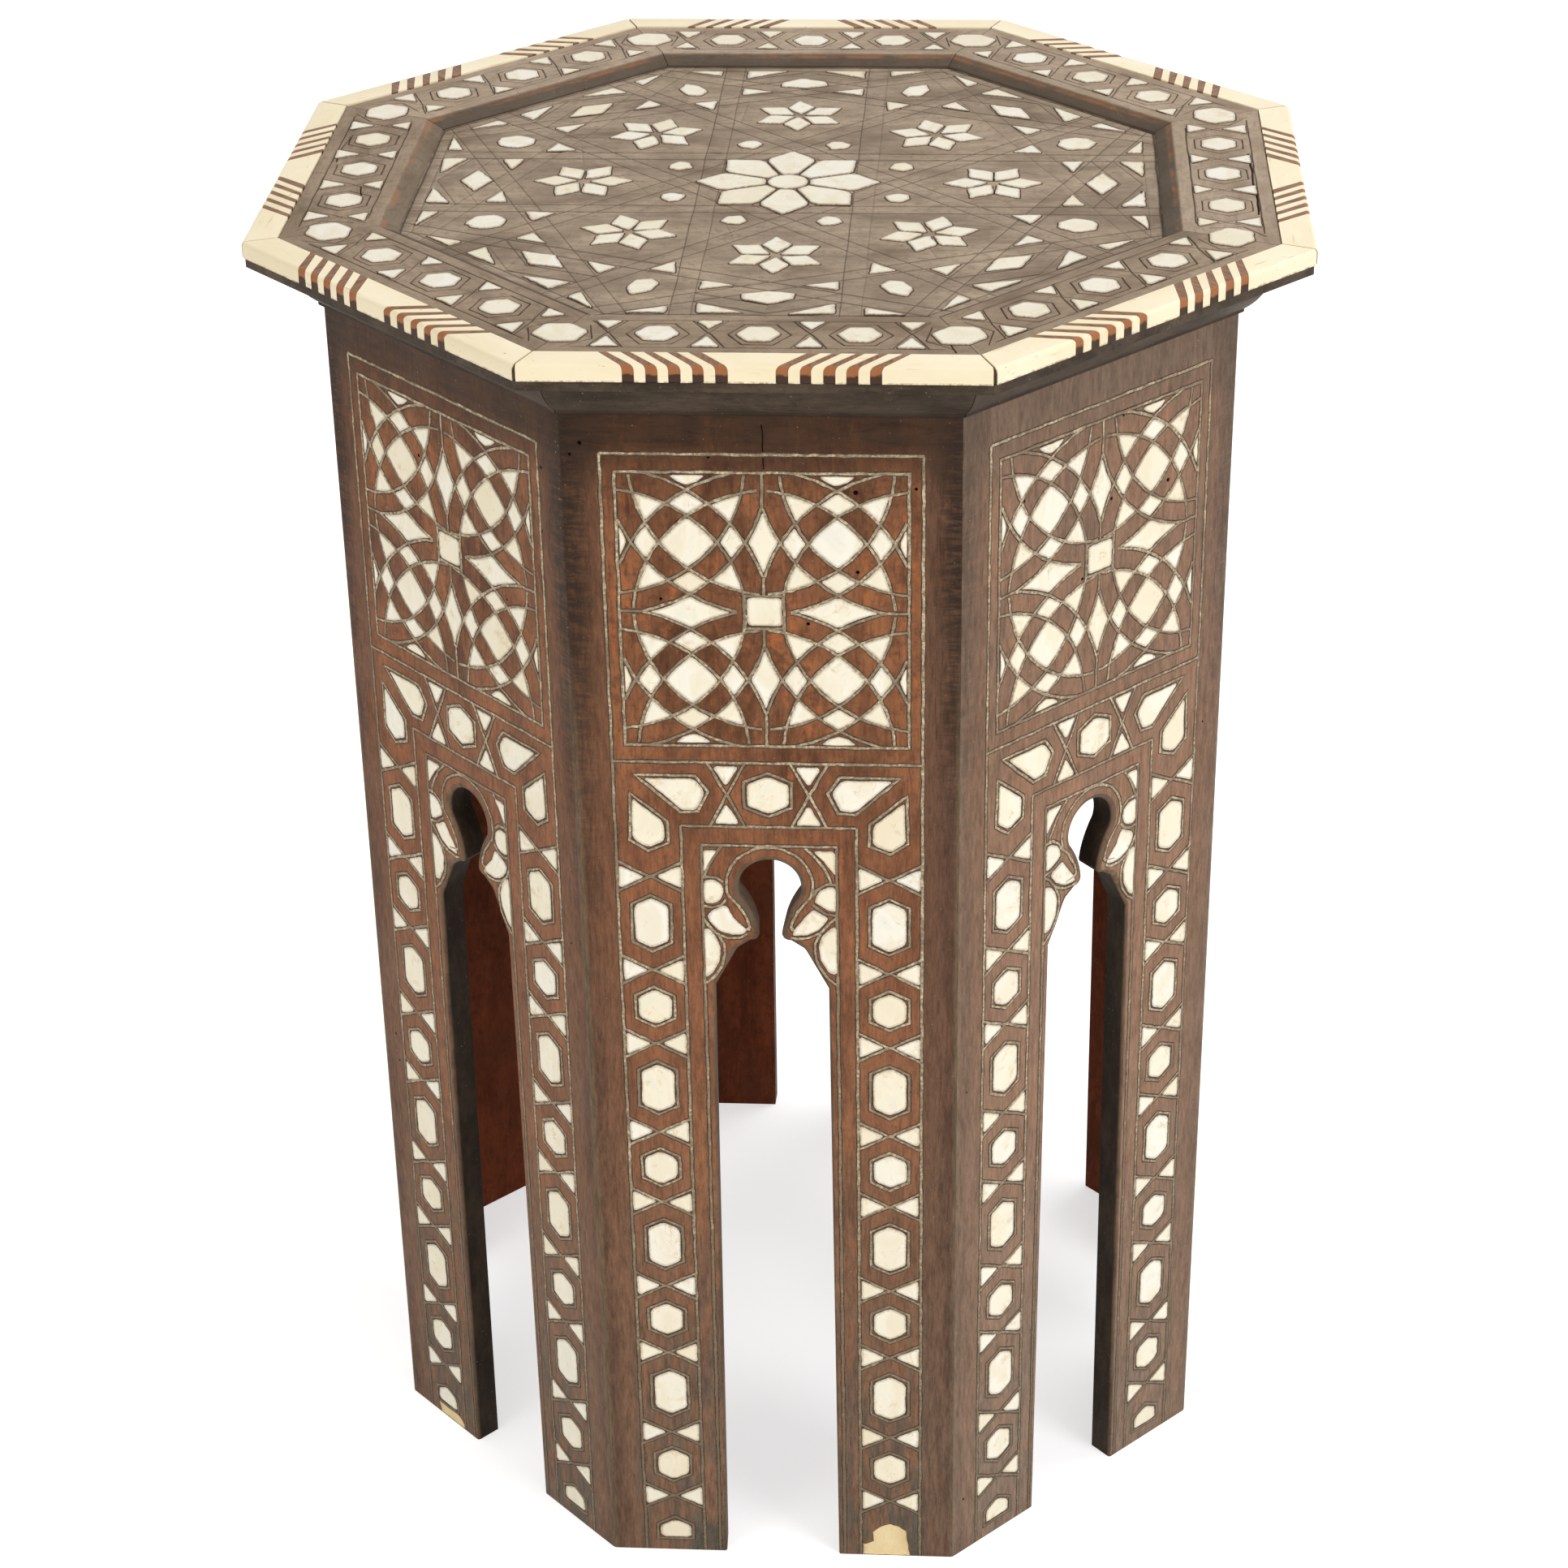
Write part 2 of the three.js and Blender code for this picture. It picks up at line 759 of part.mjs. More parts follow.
for (let i = 0; i < sideCount; i++) {
  const side = new THREE.Group();
  side.rotation.z = i * 2 * halfTurn;
  for (const [name, geometry, look] of sidePieces) {
    addPiece(side, `${name}_${i + 1}`, geometry, look);
  }
  table.add(side);
}

addPiece(table, "top_board", pieceGeometry(topBoardSolid()), topWood);

const petalTop = fieldTop + inlayProud;
const petalSeat = onLevel(petalTop - petalThickness);
const boss = prism(disc(bossRadius), petalSeat, onLevel(petalTop));
addPiece(table, "rosette_boss", pieceGeometry(boss), shell);
const petalGeometry = pieceGeometry(prism(petal(0), petalSeat, onLevel(petalTop)));
for (let i = 0; i < sideCount; i++) {
  const spoke = new THREE.Group();
  spoke.rotation.z = petalAngle(i);
  addPiece(spoke, `rosette_petal_${i + 1}`, petalGeometry, shell);
  table.add(spoke);
}

export default table;
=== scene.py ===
import random
from math import cos, dist, hypot, pi, radians, sin, sqrt, tan, tau

import bmesh
import bpy
from mathutils import Matrix, Vector, geometry


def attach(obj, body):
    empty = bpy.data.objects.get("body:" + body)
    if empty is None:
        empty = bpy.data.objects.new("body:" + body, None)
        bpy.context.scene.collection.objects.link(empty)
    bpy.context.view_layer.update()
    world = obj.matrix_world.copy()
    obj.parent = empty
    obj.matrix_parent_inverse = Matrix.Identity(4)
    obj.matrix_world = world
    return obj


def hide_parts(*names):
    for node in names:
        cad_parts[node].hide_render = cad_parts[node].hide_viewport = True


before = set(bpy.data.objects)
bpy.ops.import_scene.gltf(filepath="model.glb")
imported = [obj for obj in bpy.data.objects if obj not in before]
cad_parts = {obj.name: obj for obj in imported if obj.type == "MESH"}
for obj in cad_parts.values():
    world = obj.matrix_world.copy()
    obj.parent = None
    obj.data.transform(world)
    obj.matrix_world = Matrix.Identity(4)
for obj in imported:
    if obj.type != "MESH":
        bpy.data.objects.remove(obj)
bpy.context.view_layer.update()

# Sizes of the solid pieces that the looks follow, in millimetres
MM = 0.001
SIDES = 8
HALF_TURN = pi / SIDES
TURN = 2 * HALF_TURN
GAP = 0.3
HEIGHT = 500
TOP = 181.6
PANEL = 157
PANEL_BACK = 147
PANEL_TOP = 490.6
CORNICE_BOTTOM = 473.6
BONE_BOTTOM = 494.5
BONE_INNER = 170
BONE_ARRIS = 1.5
BONE_WIDTH = 11.6
BONE_JOINT = 0.07
COVE = 1.5
RAIL_OUTER = 169.7
RAIL_INNER = 131.5
RAIL_TOP = 499.5
FIELD_TOP = 495.6
RIM = 180.6
RIM_TOP = 494.2
RIM_BOTTOM = 490.9
BOARD = 146.4
BOARD_BOTTOM = 484.2
PATTERN_TOP = 474
LATTICE = 403
PROUD = 0.42
STEPS = (-1, 1)
# A corner lies apothem * SLOPE beside the middle of its side, and apothem / LEAN from the axis
SLOPE = tan(HALF_TURN)
LEAN = cos(HALF_TURN)


def reach(apothem):
    return apothem * SLOPE - GAP / 2 / LEAN


def on_side(x, y, h):
    return (x, -(PANEL + h), y)


def on_level(level):
    return lambda x, y, h: (x, y, level + h)


def laid(line, place, height):
    return [place(x, y, height) for x, y in line]


# Outlines


def unit(dx, dy):
    length = hypot(dx, dy) or 1.0
    return dx / length, dy / length


def polar(radius, angle, x=0, y=0):
    return x + radius * cos(angle), y + radius * sin(angle)


def between(a, b, k, count):
    return tuple(p + (q - p) * k / count for p, q in zip(a, b))


def anticlockwise(line):
    turn = sum(ax * by - bx * ay for (ax, ay), (bx, by) in zip(line, line[1:] + line[:1]))
    return list(line) if turn > 0 else list(line)[::-1]


def corners(line):
    """Each corner: the point before it, the point itself, the one after it, and the ways to and from it."""
    line = anticlockwise(line)
    for i, (x, y) in enumerate(line):
        (px, py), (nx, ny) = line[i - 1], line[(i + 1) % len(line)]
        yield (px, py), (x, y), (nx, ny), unit(x - px, y - py), unit(nx - x, ny - y)


def offset(line, distance):
    """The outline moved outwards, its sharp corners kept in bounds."""
    moved = []
    for _, (x, y), _, (ax, ay), (bx, by) in corners(line):
        ox, oy = ay + by, -ax - bx
        k = 2 * distance / max(ox * ox + oy * oy, 0.5)
        moved.append((x + ox * k, y + oy * k))
    return moved


def eased(line, cut, rng):
    """The outline with its sharp corners worn round."""
    worn = []
    for before, (x, y), after, (ax, ay), (bx, by) in corners(line):
        if ax * bx + ay * by > 0.9:
            worn.append((x, y))
            continue
        back, on = (min(cut * rng.uniform(0.5, 1.2), 0.3 * dist((x, y), end)) for end in (before, after))
        a, b = (x - ax * back, y - ay * back), (x + bx * on, y + by * on)
        worn += [a, ((a[0] + b[0] + x) / 3, (a[1] + b[1] + y) / 3), b]
    return worn


def turned(line, angle):
    c, s = cos(angle), sin(angle)
    return [(x * c - y * s, x * s + y * c) for x, y in line]


def shifted(line, dx, dy):
    return [(x + dx, y + dy) for x, y in line]


def mirrored(line):
    return [(-x, y) for x, y in line]


def refined(line, step, closed=False):
    """More points along a line, so that it can be cut a little unevenly."""
    fine = []
    for a, b in zip(line, line[1:] + line[:1] if closed else line[1:]):
        count = max(1, round(dist(a, b) / step))
        fine += [between(a, b, k, count) for k in range(count)]
    return fine if closed else fine + [line[-1]]


def uneven(line, amount, rng):
    return [(x + rng.uniform(-amount, amount), y + rng.uniform(-amount, amount)) for x, y in line]


def misplaced(line, amount, rng):
    return shifted(line, rng.uniform(-amount, amount), rng.uniform(-amount, amount))


def handmade(line, cut, step, amount, rng):
    """The outline as a saw leaves it: corners worn round, edges a little uneven."""
    return uneven(refined(eased(line, cut, rng), step, closed=True), amount, rng)


def arc(cx, cy, radius, start, end, count):
    return [polar(radius, radians(start + (end - start) * k / count), cx, cy) for k in range(count + 1)]


def rectangle(half_width, half_length):
    return [(x * half_width, y * half_length) for x, y in ((1, -1), (1, 1), (-1, 1), (-1, -1))]


def hexagon(half_width, half_length, flat):
    return [(half_width, -flat), (half_width, flat), (0, half_length),
            (-half_width, flat), (-half_width, -flat), (0, -half_length)]


def diamond(half_width, half_length):
    return [(half_width, 0), (0, half_length), (-half_width, 0), (0, -half_length)]


def crossing(a, b, near):
    """Where two circles meet, the one of the two places that is nearer to a point."""
    (ax, ay, ar), (bx, by, br) = a, b
    d = hypot(bx - ax, by - ay)
    along = (d * d + ar * ar - br * br) / (2 * d)
    across = sqrt(max(0, ar * ar - along * along))
    ux, uy = (bx - ax) / d, (by - ay) / d
    both = [(ax + ux * along - uy * across * s, ay + uy * along + ux * across * s) for s in STEPS]
    return min(both, key=lambda p: dist(p, near))


def arc_piece(circles, tips, count):
    """A piece bounded by circles; where circle i meets the next one is near tip i."""
    tips = [crossing(c, circles[(i + 1) % len(circles)], tips[i]) for i, c in enumerate(circles)]
    line = []
    for i, (cx, cy, radius) in enumerate(circles):
        for k in range(count):
            x, y = between(tips[i - 1], tips[i], k, count)
            dx, dy = unit(x - cx, y - cy)
            line.append((cx + dx * radius, cy + dy * radius))
    return line


def inside(x, y, line):
    hit = False
    for (ax, ay), (bx, by) in zip(line, line[1:] + line[:1]):
        if (ay > y) != (by > y) and x < ax + (bx - ax) * (y - ay) / (by - ay):
            hit = not hit
    return hit


def middle_of(line):
    return [sum(p[i] for p in line) / len(line) for i in (0, 1)]


def clipped(line, low, high):
    """The stretches of a line that lie in a box."""
    runs, run = [], []
    for x, y in line:
        if low[0] <= x <= high[0] and low[1] <= y <= high[1]:
            run.append((x, y))
        elif run:
            runs.append(run)
            run = []
    return [r for r in runs + [run] if len(r) > 1]


# Meshes


class Shape:
    """Points and faces of one piece, in millimetres."""

    def __init__(self):
        self.points, self.faces, self.looks, self.tints, self.edges = [], [], [], [], []

    def add(self, points, faces, look=0, tint=0.5, edge=None):
        start = len(self.points)
        self.points += points
        self.edges += edge or [0.0] * len(points)
        self.faces += [[i + start for i in face] for face in faces]
        self.looks += look if isinstance(look, list) else [look] * len(faces)
        self.tints += tint if isinstance(tint, list) else [tint] * len(points)

    def loft(self, rings, look=0, tint=0.5, caps=True, edge=(), closed=False):
        """Rings of equally many points, joined in turn; look may be a list, one for each cap and band."""
        size, bands = len(rings[0]), len(rings) - (not closed)
        kinds = look if isinstance(look, list) else [look] * (bands + 2)
        faces, looks = [], []
        for band in range(bands):
            a, b = band * size, (band + 1) % len(rings) * size
            faces += [[a + i, a + (i + 1) % size, b + (i + 1) % size, b + i] for i in range(size)]
            looks += [kinds[band + 1]] * size
        if caps:
            faces += [list(range(size))[::-1], list(range(bands * size, (bands + 1) * size))]
            looks += [kinds[0], kinds[-1]]
        self.add([p for ring in rings for p in ring], faces, looks, tint, [v for v in edge for _ in range(size)])

    def hollow(self, rings, look):
        """A loft that is open at its first ring."""
        self.loft(rings, look, caps=False)
        self.add(rings[-1], [list(range(len(rings[-1])))], look)

    def plate(self, line, place, top, root=-0.8, soft=0.2, look=0, tint=0.5):
        """A thin piece let into the wood, with its upper arris softened."""
        line = anticlockwise(line)
        ends = list(zip(line, line[1:] + line[:1]))
        area = sum(ax * by - bx * ay for (ax, ay), (bx, by) in ends) / 2
        depth = 2 * area / sum(dist(a, b) for a, b in ends)
        cx, cy = (sum((a[i] + b[i]) * (a[0] * b[1] - b[0] * a[1]) for a, b in ends) / 6 / area for i in (0, 1))

        def ring(inwards, height):
            share = 1 - inwards / depth
            return laid([(cx + (x - cx) * share, cy + (y - cy) * share) for x, y in line], place, height)

        self.loft([ring(0, root), ring(0, top - soft), ring(soft * 0.3, top - soft * 0.3), ring(soft, top),
                   ring(soft + min(0.9, 0.3 * depth), top)], look, tint, edge=[1.0, 1.0, 1.0, 0.8, 0.0])

    def bed(self, line, place, grow, top, look=0):
        """The dark mastic that shows round a plate."""
        self.plate(offset(line, grow), place, top, root=-0.5, soft=0.02, look=look)

    def ribbon(self, line, place, width, top, closed, look=0, tint=0.5, crown=0.5):
        """A flattened wire pressed into a line; crown is the share of its width that is flat."""
        section = ((-1, -0.3), (-1, 0.02), (-crown, top), (crown, top), (1, 0.02), (1, -0.3))
        rings = []
        for i, (x, y) in enumerate(line):
            before = line[i - 1] if closed or i else line[i]
            after = line[(i + 1) % len(line)] if closed or i + 1 < len(line) else line[i]
            ax, ay = unit(x - before[0], y - before[1])
            bx, by = unit(after[0] - x, after[1] - y)
            ox, oy = unit(-(ay + by), ax + bx)
            stretch = 1.0 if line[i] in (before, after) else min(1.6, 1 / max(0.4, ox * -by + oy * bx))
            half = width[i] / 2 * stretch
            rings.append([place(x + ox * half * s, y + oy * half * s, h) for s, h in section])
        self.loft(rings, look, tint, caps=not closed, closed=closed)

    def carve(self, outline, place, grooves, holes=(), tint=0.5):
        """A flat face with narrow V-shaped cuts: each is a line, its width and its depth."""
        points, edges, cuts = [], [], []

        def string(line, closed=True):
            start = len(points)
            points.extend(Vector(p) for p in line)
            ends = range(len(line)) if closed else range(len(line) - 1)
            edges.extend((start + i, start + (i + 1) % len(line)) for i in ends)

        for line in (outline, *holes):
            string(line)
        for line, width, depth in grooves:
            for (ax, ay), (bx, by) in zip(line, line[1:]):
                ux, uy = unit(bx - ax, by - ay)
                ux, uy = ux * width / 2, uy * width / 2
                string([(ax - uy, ay + ux), (ax - ux, ay - uy), (ax + uy, ay - ux),
                        (bx + uy, by - ux), (bx + ux, by + uy), (bx - uy, by + ux)])
                string([(ax, ay), (bx, by)], False)
                cuts.append((ax, ay, bx - ax, by - ay, width / 2, depth))
        found, _, patches = geometry.delaunay_2d_cdt(points, edges, [], 0, 1e-4, False)[:3]
        spots = [(p.x, p.y) for p in found]
        placed, dark = [], []
        for x, y in spots:
            low = 0
            for ax, ay, dx, dy, half, depth in cuts:
                k = min(1, max(0, ((x - ax) * dx + (y - ay) * dy) / (dx * dx + dy * dy)))
                away = hypot(x - ax - dx * k, y - ay - dy * k)
                if away < half:
                    low = max(low, depth * (1 - away / half))
            placed.append(place(x, y, -low))
            dark.append(min(1.0, low / 0.15))
        faces = []
        for face in patches:
            x, y = middle_of([spots[i] for i in face])
            if inside(x, y, outline) and not any(inside(x, y, hole) for hole in holes):
                faces.append(list(face))
        self.add(placed, faces, 0, tint, dark)

    def make(self, name, materials, side=None, slot=None, replaced=None, weld=False):
        """The finished piece; one that belongs to a side is turned to it and takes its number."""
        number = "" if side is None else f"_{side + 1}"
        mesh = bpy.data.meshes.new(name + number)
        mesh.from_pydata([(x * MM, y * MM, z * MM) for x, y, z in self.points], [], self.faces)
        for material in materials:
            mesh.materials.append(material)
        mesh.polygons.foreach_set("material_index", self.looks)
        mesh.attributes.new("tint", "FLOAT", "POINT").data.foreach_set("value", self.tints)
        mesh.attributes.new("edge", "FLOAT", "POINT").data.foreach_set("value", self.edges)
        work = bmesh.new()
        work.from_mesh(mesh)
        if weld:
            bmesh.ops.remove_doubles(work, verts=work.verts, dist=1e-6)
            bmesh.ops.delete(work, geom=[v for v in work.verts if not v.link_faces], context="VERTS")
        bmesh.ops.recalc_face_normals(work, faces=work.faces)
        work.to_mesh(mesh)
        work.free()
        mesh.shade_smooth()
        mesh.set_sharp_from_angle(angle=radians(32))
        piece = bpy.data.objects.new(name + number, mesh)
        piece.rotation_euler.z = TURN * (side or 0)
        bpy.context.scene.collection.objects.link(piece)
        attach(piece, "root")
        if replaced:
            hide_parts(replaced + number)


# Materials


def srgb(r, g, b):
    def linear(v):
        v /= 255
        return v / 12.92 if v <= 0.04045 else ((v + 0.055) / 1.055) ** 2.4
    return (linear(r), linear(g), linear(b), 1)


class Nodes:
    """A node tree, with the few kinds of node that this scene needs."""

    def __init__(self, tree):
        self.tree = tree

    def feed(self, sockets, values):
        for key, value in values.items():
            if isinstance(value, bpy.types.NodeSocket):
                self.tree.links.new(value, sockets[key])
            else:
                sockets[key].default_value = value

    def node(self, kind, inputs=None, **settings):
        node = self.tree.nodes.new("ShaderNode" + kind)
        for key, value in settings.items():
            setattr(node, key, value)
        self.feed(node.inputs, inputs or {})
        return node.outputs

    def math(self, operation, a, b=0.0):
        return self.node("Math", {0: a, 1: b}, operation=operation)[0]

    def times(self, first, *others):
        for other in others:
            first = self.math("MULTIPLY", first, other)
        return first

    def level(self, value, low, high, out_low=0.0, out_high=1.0):
        return self.node("MapRange", {"Value": value, "From Min": low, "From Max": high,
                                                "To Min": out_low, "To Max": out_high})["Result"]


class Look(Nodes):
    """A procedural material, built up as colours laid one over the other; a tone is (r, g, b) up to 255."""

    def __init__(self, name, specular, coat=0.0):
        self.material = bpy.data.materials.new(name)
        self.material.use_nodes = True
        super().__init__(self.material.node_tree)
        self.shader = self.tree.nodes["Principled BSDF"].inputs
        self.feed(self.shader, {"Specular IOR Level": specular, "Coat Weight": coat, "Coat Roughness": 0.25})
        self.place = self.node("TexCoord")["Object"]

    def mapped(self, scale=(1, 1, 1), move=(0, 0, 0), turn=(0, 0, 0)):
        return self.node("Mapping", {"Vector": self.place, "Scale": scale,
                                               "Rotation": turn, "Location": move})["Vector"]

    def scattered(self):
        """A place in the grain that differs from piece to piece."""
        chance = self.node("ObjectInfo")["Random"]
        return self.node("VectorMath", {0: (7.3, 4.1, 9.7), "Scale": chance}, operation="SCALE")["Vector"]

    def noise(self, vector, scale, detail=3, rough=0.55, distortion=0.0):
        return self.node("TexNoise", {"Vector": vector, "Scale": scale, "Detail": detail,
                                                "Roughness": rough, "Distortion": distortion})["Fac"]

    def ramp(self, value, stops):
        ramp = self.tree.nodes.new("ShaderNodeValToRGB")
        elements = ramp.color_ramp.elements
        while len(elements) < len(stops):
            elements.new(0.5)
        for element, (at, tone) in zip(elements, stops):
            element.position = at
            element.color = srgb(*tone)
        self.feed(ramp.inputs, {"Fac": value})
        return ramp.outputs["Color"]

    def attribute(self, name):
        return self.node("Attribute", attribute_name=name)["Fac"]

    def axis(self, name):
        return self.node("SeparateXYZ", {0: self.place})[name]

    def cover(self, tone, *shares):
        """Lay a tone over the colour, as far as all the shares let it."""
        tone = srgb(*tone) if isinstance(tone, tuple) else tone
        self.colour = self.node("Mix", {"Factor": self.times(*shares), 6: self.colour, 7: tone},
                                data_type="RGBA")[2]

    def finish(self, height, strength, roughness, distance=0.0003):
        bump = self.node("Bump", {"Strength": strength, "Distance": distance, "Height": height})
        self.feed(self.shader, {"Base Color": self.colour, "Roughness": roughness, "Normal": bump["Normal"]})
        return self.material


class Wood(Look):
    """Old hardwood: long fibres along one axis, warmer streaks, dark pores."""

    def __init__(self, name, dark, middle, warm, grain, roughness=0.5, streaks=0.5):
        super().__init__(name, 0.1)
        self.roughness = roughness
        level, noise, cover = self.level, self.noise, self.cover
        self.move = self.scattered()
        fine, soft = [1.0] * 3, [1.0] * 3
        fine[grain], soft[grain] = 0.16, 0.4
        fine, soft, self.even = (self.mapped(scale, self.move) for scale in (fine, soft, (1, 1, 1)))
        self.broad = noise(soft, 60, 4, 0.62, 0.3)
        self.patches = noise(soft, 130, 5, 0.7)
        self.clouds = noise(soft, 95, 5, 0.7)
        self.fibre = noise(fine, 820, 6, 0.8)
        self.streak = noise(fine, 210, 4, 0.65, 0.5)
        self.cloud = noise(self.even, 26, 4, 0.6)
        self.mottle = noise(self.even, 260, 5, 0.75)
        self.colour = self.ramp(self.broad, [(0.3, dark), (0.5, middle), (0.7, warm)])
        cover(warm, level(self.streak, 0.5, 0.68, 0, streaks))
        cover(dark, level(self.fibre, 0.5, 0.36, 0, 0.5))
        cover(warm, level(self.fibre, 0.54, 0.68, 0, 0.35))
        cover(dark, level(self.mottle, 0.5, 0.36, 0, 0.5))

    def flecked(self, r, g, b, grains=None):
        return self.ramp(grains or self.fibre, [(0.36, (r * 0.82, g * 0.8, b * 0.78)), (0.5, (r, g, b)),
                                                (0.64, (r * 1.14, g * 1.14, b * 1.14))])

    def dirty(self, grime):
        self.cover(grime, self.level(self.cloud, 0.48, 0.68, 0, 0.6))
        return self

    def aged(self, cut=(40, 30, 24), wear=None, arch_shade_tone=None):
        """Dirt in the cuts and painted shade where the edge asks for them, rubbed stretches and painted shade inside an
        arch where the tint asks for them, dust and gloss.
        """
        level, cover, tint = self.level, self.cover, self.attribute("tint")
        cover(cut, self.attribute("edge"), 0.85)
        if wear is not None:
            cover(wear, tint, level(self.patches, 0.42, 0.58))
        if arch_shade_tone is not None:
            # Painted shade: the cut through a board is darkened behind its front arris, where shade falls inside the
            # opening
            cover(arch_shade_tone, tint, level(self.patches, 0.4, 0.6, 0.8, 1), level(self.axis("Y"), -0.1564, -0.1554))
        cover((178, 156, 126), level(self.noise(self.even, 1100, 2, 0.5), 0.72, 0.77, 0, 0.6))
        pores = self.math("ADD", self.times(self.fibre, 0.7), self.times(self.mottle, 0.6))
        gloss = level(self.cloud, 0.3, 0.7, self.roughness - 0.08, self.roughness + 0.14)
        return self.finish(pores, 0.5, gloss, 0.0004)


# Where the looks of a side change, in metres from its middle line
MARGIN = (0.0515, 0.054)
ARRIS = (0.056, 0.0625)
BESIDE_ARRIS = (0.0565, 0.061)
ON_ARRIS = (0.063, 0.0646)


def side_wood(name, right_margin):
    """The wood of a side, redder in the middle of its height, dark at the arrises and grey at the foot."""
    look = Wood(name, (76, 47, 32), (128, 84, 58), (160, 105, 70), 2)
    level, noise, cover, flecked, streak = look.level, look.noise, look.cover, look.flecked, look.streak
    cover((184, 104, 54), level(streak, 0.5, 0.62), level(look.mottle, 0.5, 0.62),
          level(look.cloud, 0.4, 0.6, 0.1, 0.8))
    x, height = look.axis("X"), look.axis("Z")
    side = look.math("ABSOLUTE", x)
    ragged = level(look.broad, 0.3, 0.62, 0.65, 1)
    cover(flecked(152, 101, 72), level(height, 0.37, 0.3, 0, 0.4))
    cover(flecked(109, 78, 59), level(side, *MARGIN, 0, 0.8), ragged)
    cover(flecked(82, 65, 56), level(x, *MARGIN, 0, right_margin))
    # Grey dirt towards the feet
    cover(flecked(131, 107, 87), level(height, 0.28, 0.05, 0, 0.4))
    cover(flecked(76, 84, 78), level(height, 0.2, 0.0, 0, 0.78), level(side, 0.056, 0.052, 0.2, 1),
          level(streak, 0.57, 0.43, 0.3, 1))
    # Darker towards the arrises and the top
    dusk = look.math("ADD", level(side, 0.053, 0.066, 0, 0.42), level(height, 0.33, 0.47, 0, 0.3))
    dusk = look.math("ADD", dusk, look.times(look.clouds, 0.9))
    cover(flecked(68, 48, 35), level(dusk, 0.66, 0.98, 0, 0.85))
    waves = noise(look.mapped((0.16, 1, 1), look.move), 330, 5, 0.75, 0.6)
    cover(flecked(61, 43, 31, waves), level(height, 0.445, 0.464), ragged)
    # Wrinkled black varnish along the upper arrises
    wrinkles = noise(look.mapped((0.5, 0.5, 2.4), look.move), 210, 4, 0.7, 0.8)
    cover((48, 36, 29), level(wrinkles, 0.42, 0.56), level(side, *ARRIS), level(height, 0.27, 0.42, 0, 0.95))
    # Lower down the arris is rubbed grey, with a dark streak beside it
    lower = level(height, 0.4, 0.33)
    streaky = noise(look.mapped((1, 1, 0.12), look.move), 120, 4, 0.7)
    cover(flecked(84, 62, 52), level(side, *BESIDE_ARRIS), level(side, 0.0638, 0.0628, 0, 0.45), lower,
          level(streaky, 0.42, 0.56))
    cover(flecked(116, 101, 80), level(side, *ON_ARRIS, 0, 0.6), lower)
    # A grey painted sheen lies on some sides more than on others, less so in their margins
    cover(flecked(154, 131, 112), level(look.attribute("tint"), 0.5, 1.0, 0, 0.48), level(side, *MARGIN, 1, 0.7))
    return look.aged()


# painted_sheen lifts every tone, giving a lit copy of the top wood
def top_wood(name, painted_sheen):
    tones = [tuple(v + painted_sheen for v in tone) for tone in ((120, 101, 82), (153, 134, 114), (170, 150, 127))]
    grime = tuple(v + painted_sheen for v in (134, 115, 95))
    return Wood(name, *tones, 0, 0.65, 0.3).dirty(grime).aged((58, 47, 38), wear=(168, 112, 72))


def shell_look(name, painted_shade_scale):
    look = Look(name, 0.3, 0.06)
    level, noise, cover, tint = look.level, look.noise, look.cover, look.attribute("tint")
    move = look.node("CombineXYZ", {0: look.times(tint, 3.7), 2: look.times(tint, 1.9)})[0]
    layers = noise(look.mapped((1, 1, 0.5), move, (0.3, 0.5, 0.2)), 75, 4, 0.6, 1.2)
    cloud = noise(look.mapped(move=move), 150, 4, 0.65)
    look.colour = look.ramp(tint, [(at, [v * painted_shade_scale for v in tone]) for at, tone in (
        (0.0, (253, 246, 227)), (0.3, (252, 242, 217)), (0.6, (254, 248, 233)), (0.85, (251, 241, 216)),
        (1.0, (247, 233, 204)))])
    cover((240 * painted_shade_scale, 226 * painted_shade_scale, 194 * painted_shade_scale), level(layers, 0.44, 0.62, 0, 0.55))
    cover((232, 230, 214), level(layers, 0.44, 0.32, 0, 0.4))
    vein = look.math("ABSOLUTE", look.math("SUBTRACT", layers, 0.5))
    cover((204, 172, 124), level(vein, 0.012, 0.0, 0, 0.5), level(cloud, 0.5, 0.6))
    cover((216, 184, 138), level(cloud, 0.6, 0.75, 0, 0.6))
    grit = noise(look.mapped(), 1100, 3, 0.7)
    cover((126, 96, 66), look.attribute("edge"), level(grit, 0.3, 0.6, 0.25, 1), 0.75)
    return look.finish(layers, 0.25, level(cloud, 0.3, 0.7, 0.25, 0.45))


def bone_look():
    look = Look("bone", 0.3, 0.05)
    level, noise, mapped, cover = look.level, look.noise, look.mapped, look.cover
    move = look.scattered()
    grain = noise(mapped((0.1, 1, 1), move), 420, 4, 0.6)
    cloud = noise(mapped((0.5, 1, 1), move), 45, 4, 0.6, 0.4)
    look.colour = srgb(253, 240, 208)
    cover((246, 230, 193), level(cloud, 0.38, 0.66))
    cover((206, 176, 130), level(grain, 0.36, 0.28, 0, 0.55))
    cover((170, 130, 88), level(noise(mapped((0.5, 1, 1), move), 900, 3, 0.6), 0.68, 0.74, 0, 0.6))
    cover((230, 210, 168), level(look.attribute("tint"), 0.6, 1.0, 0, 0.4))
    # Brown dirt along the lower edge
    ragged = level(noise(mapped((1, 1, 1), move), 600, 4, 0.7), 0.42, 0.6)
    cover((150, 104, 62), level(look.axis("Z"), 0.4952, 0.4946, 0, 0.8), ragged)
    return look.finish(grain, 0.3, level(cloud, 0.3, 0.7, 0.3, 0.5))


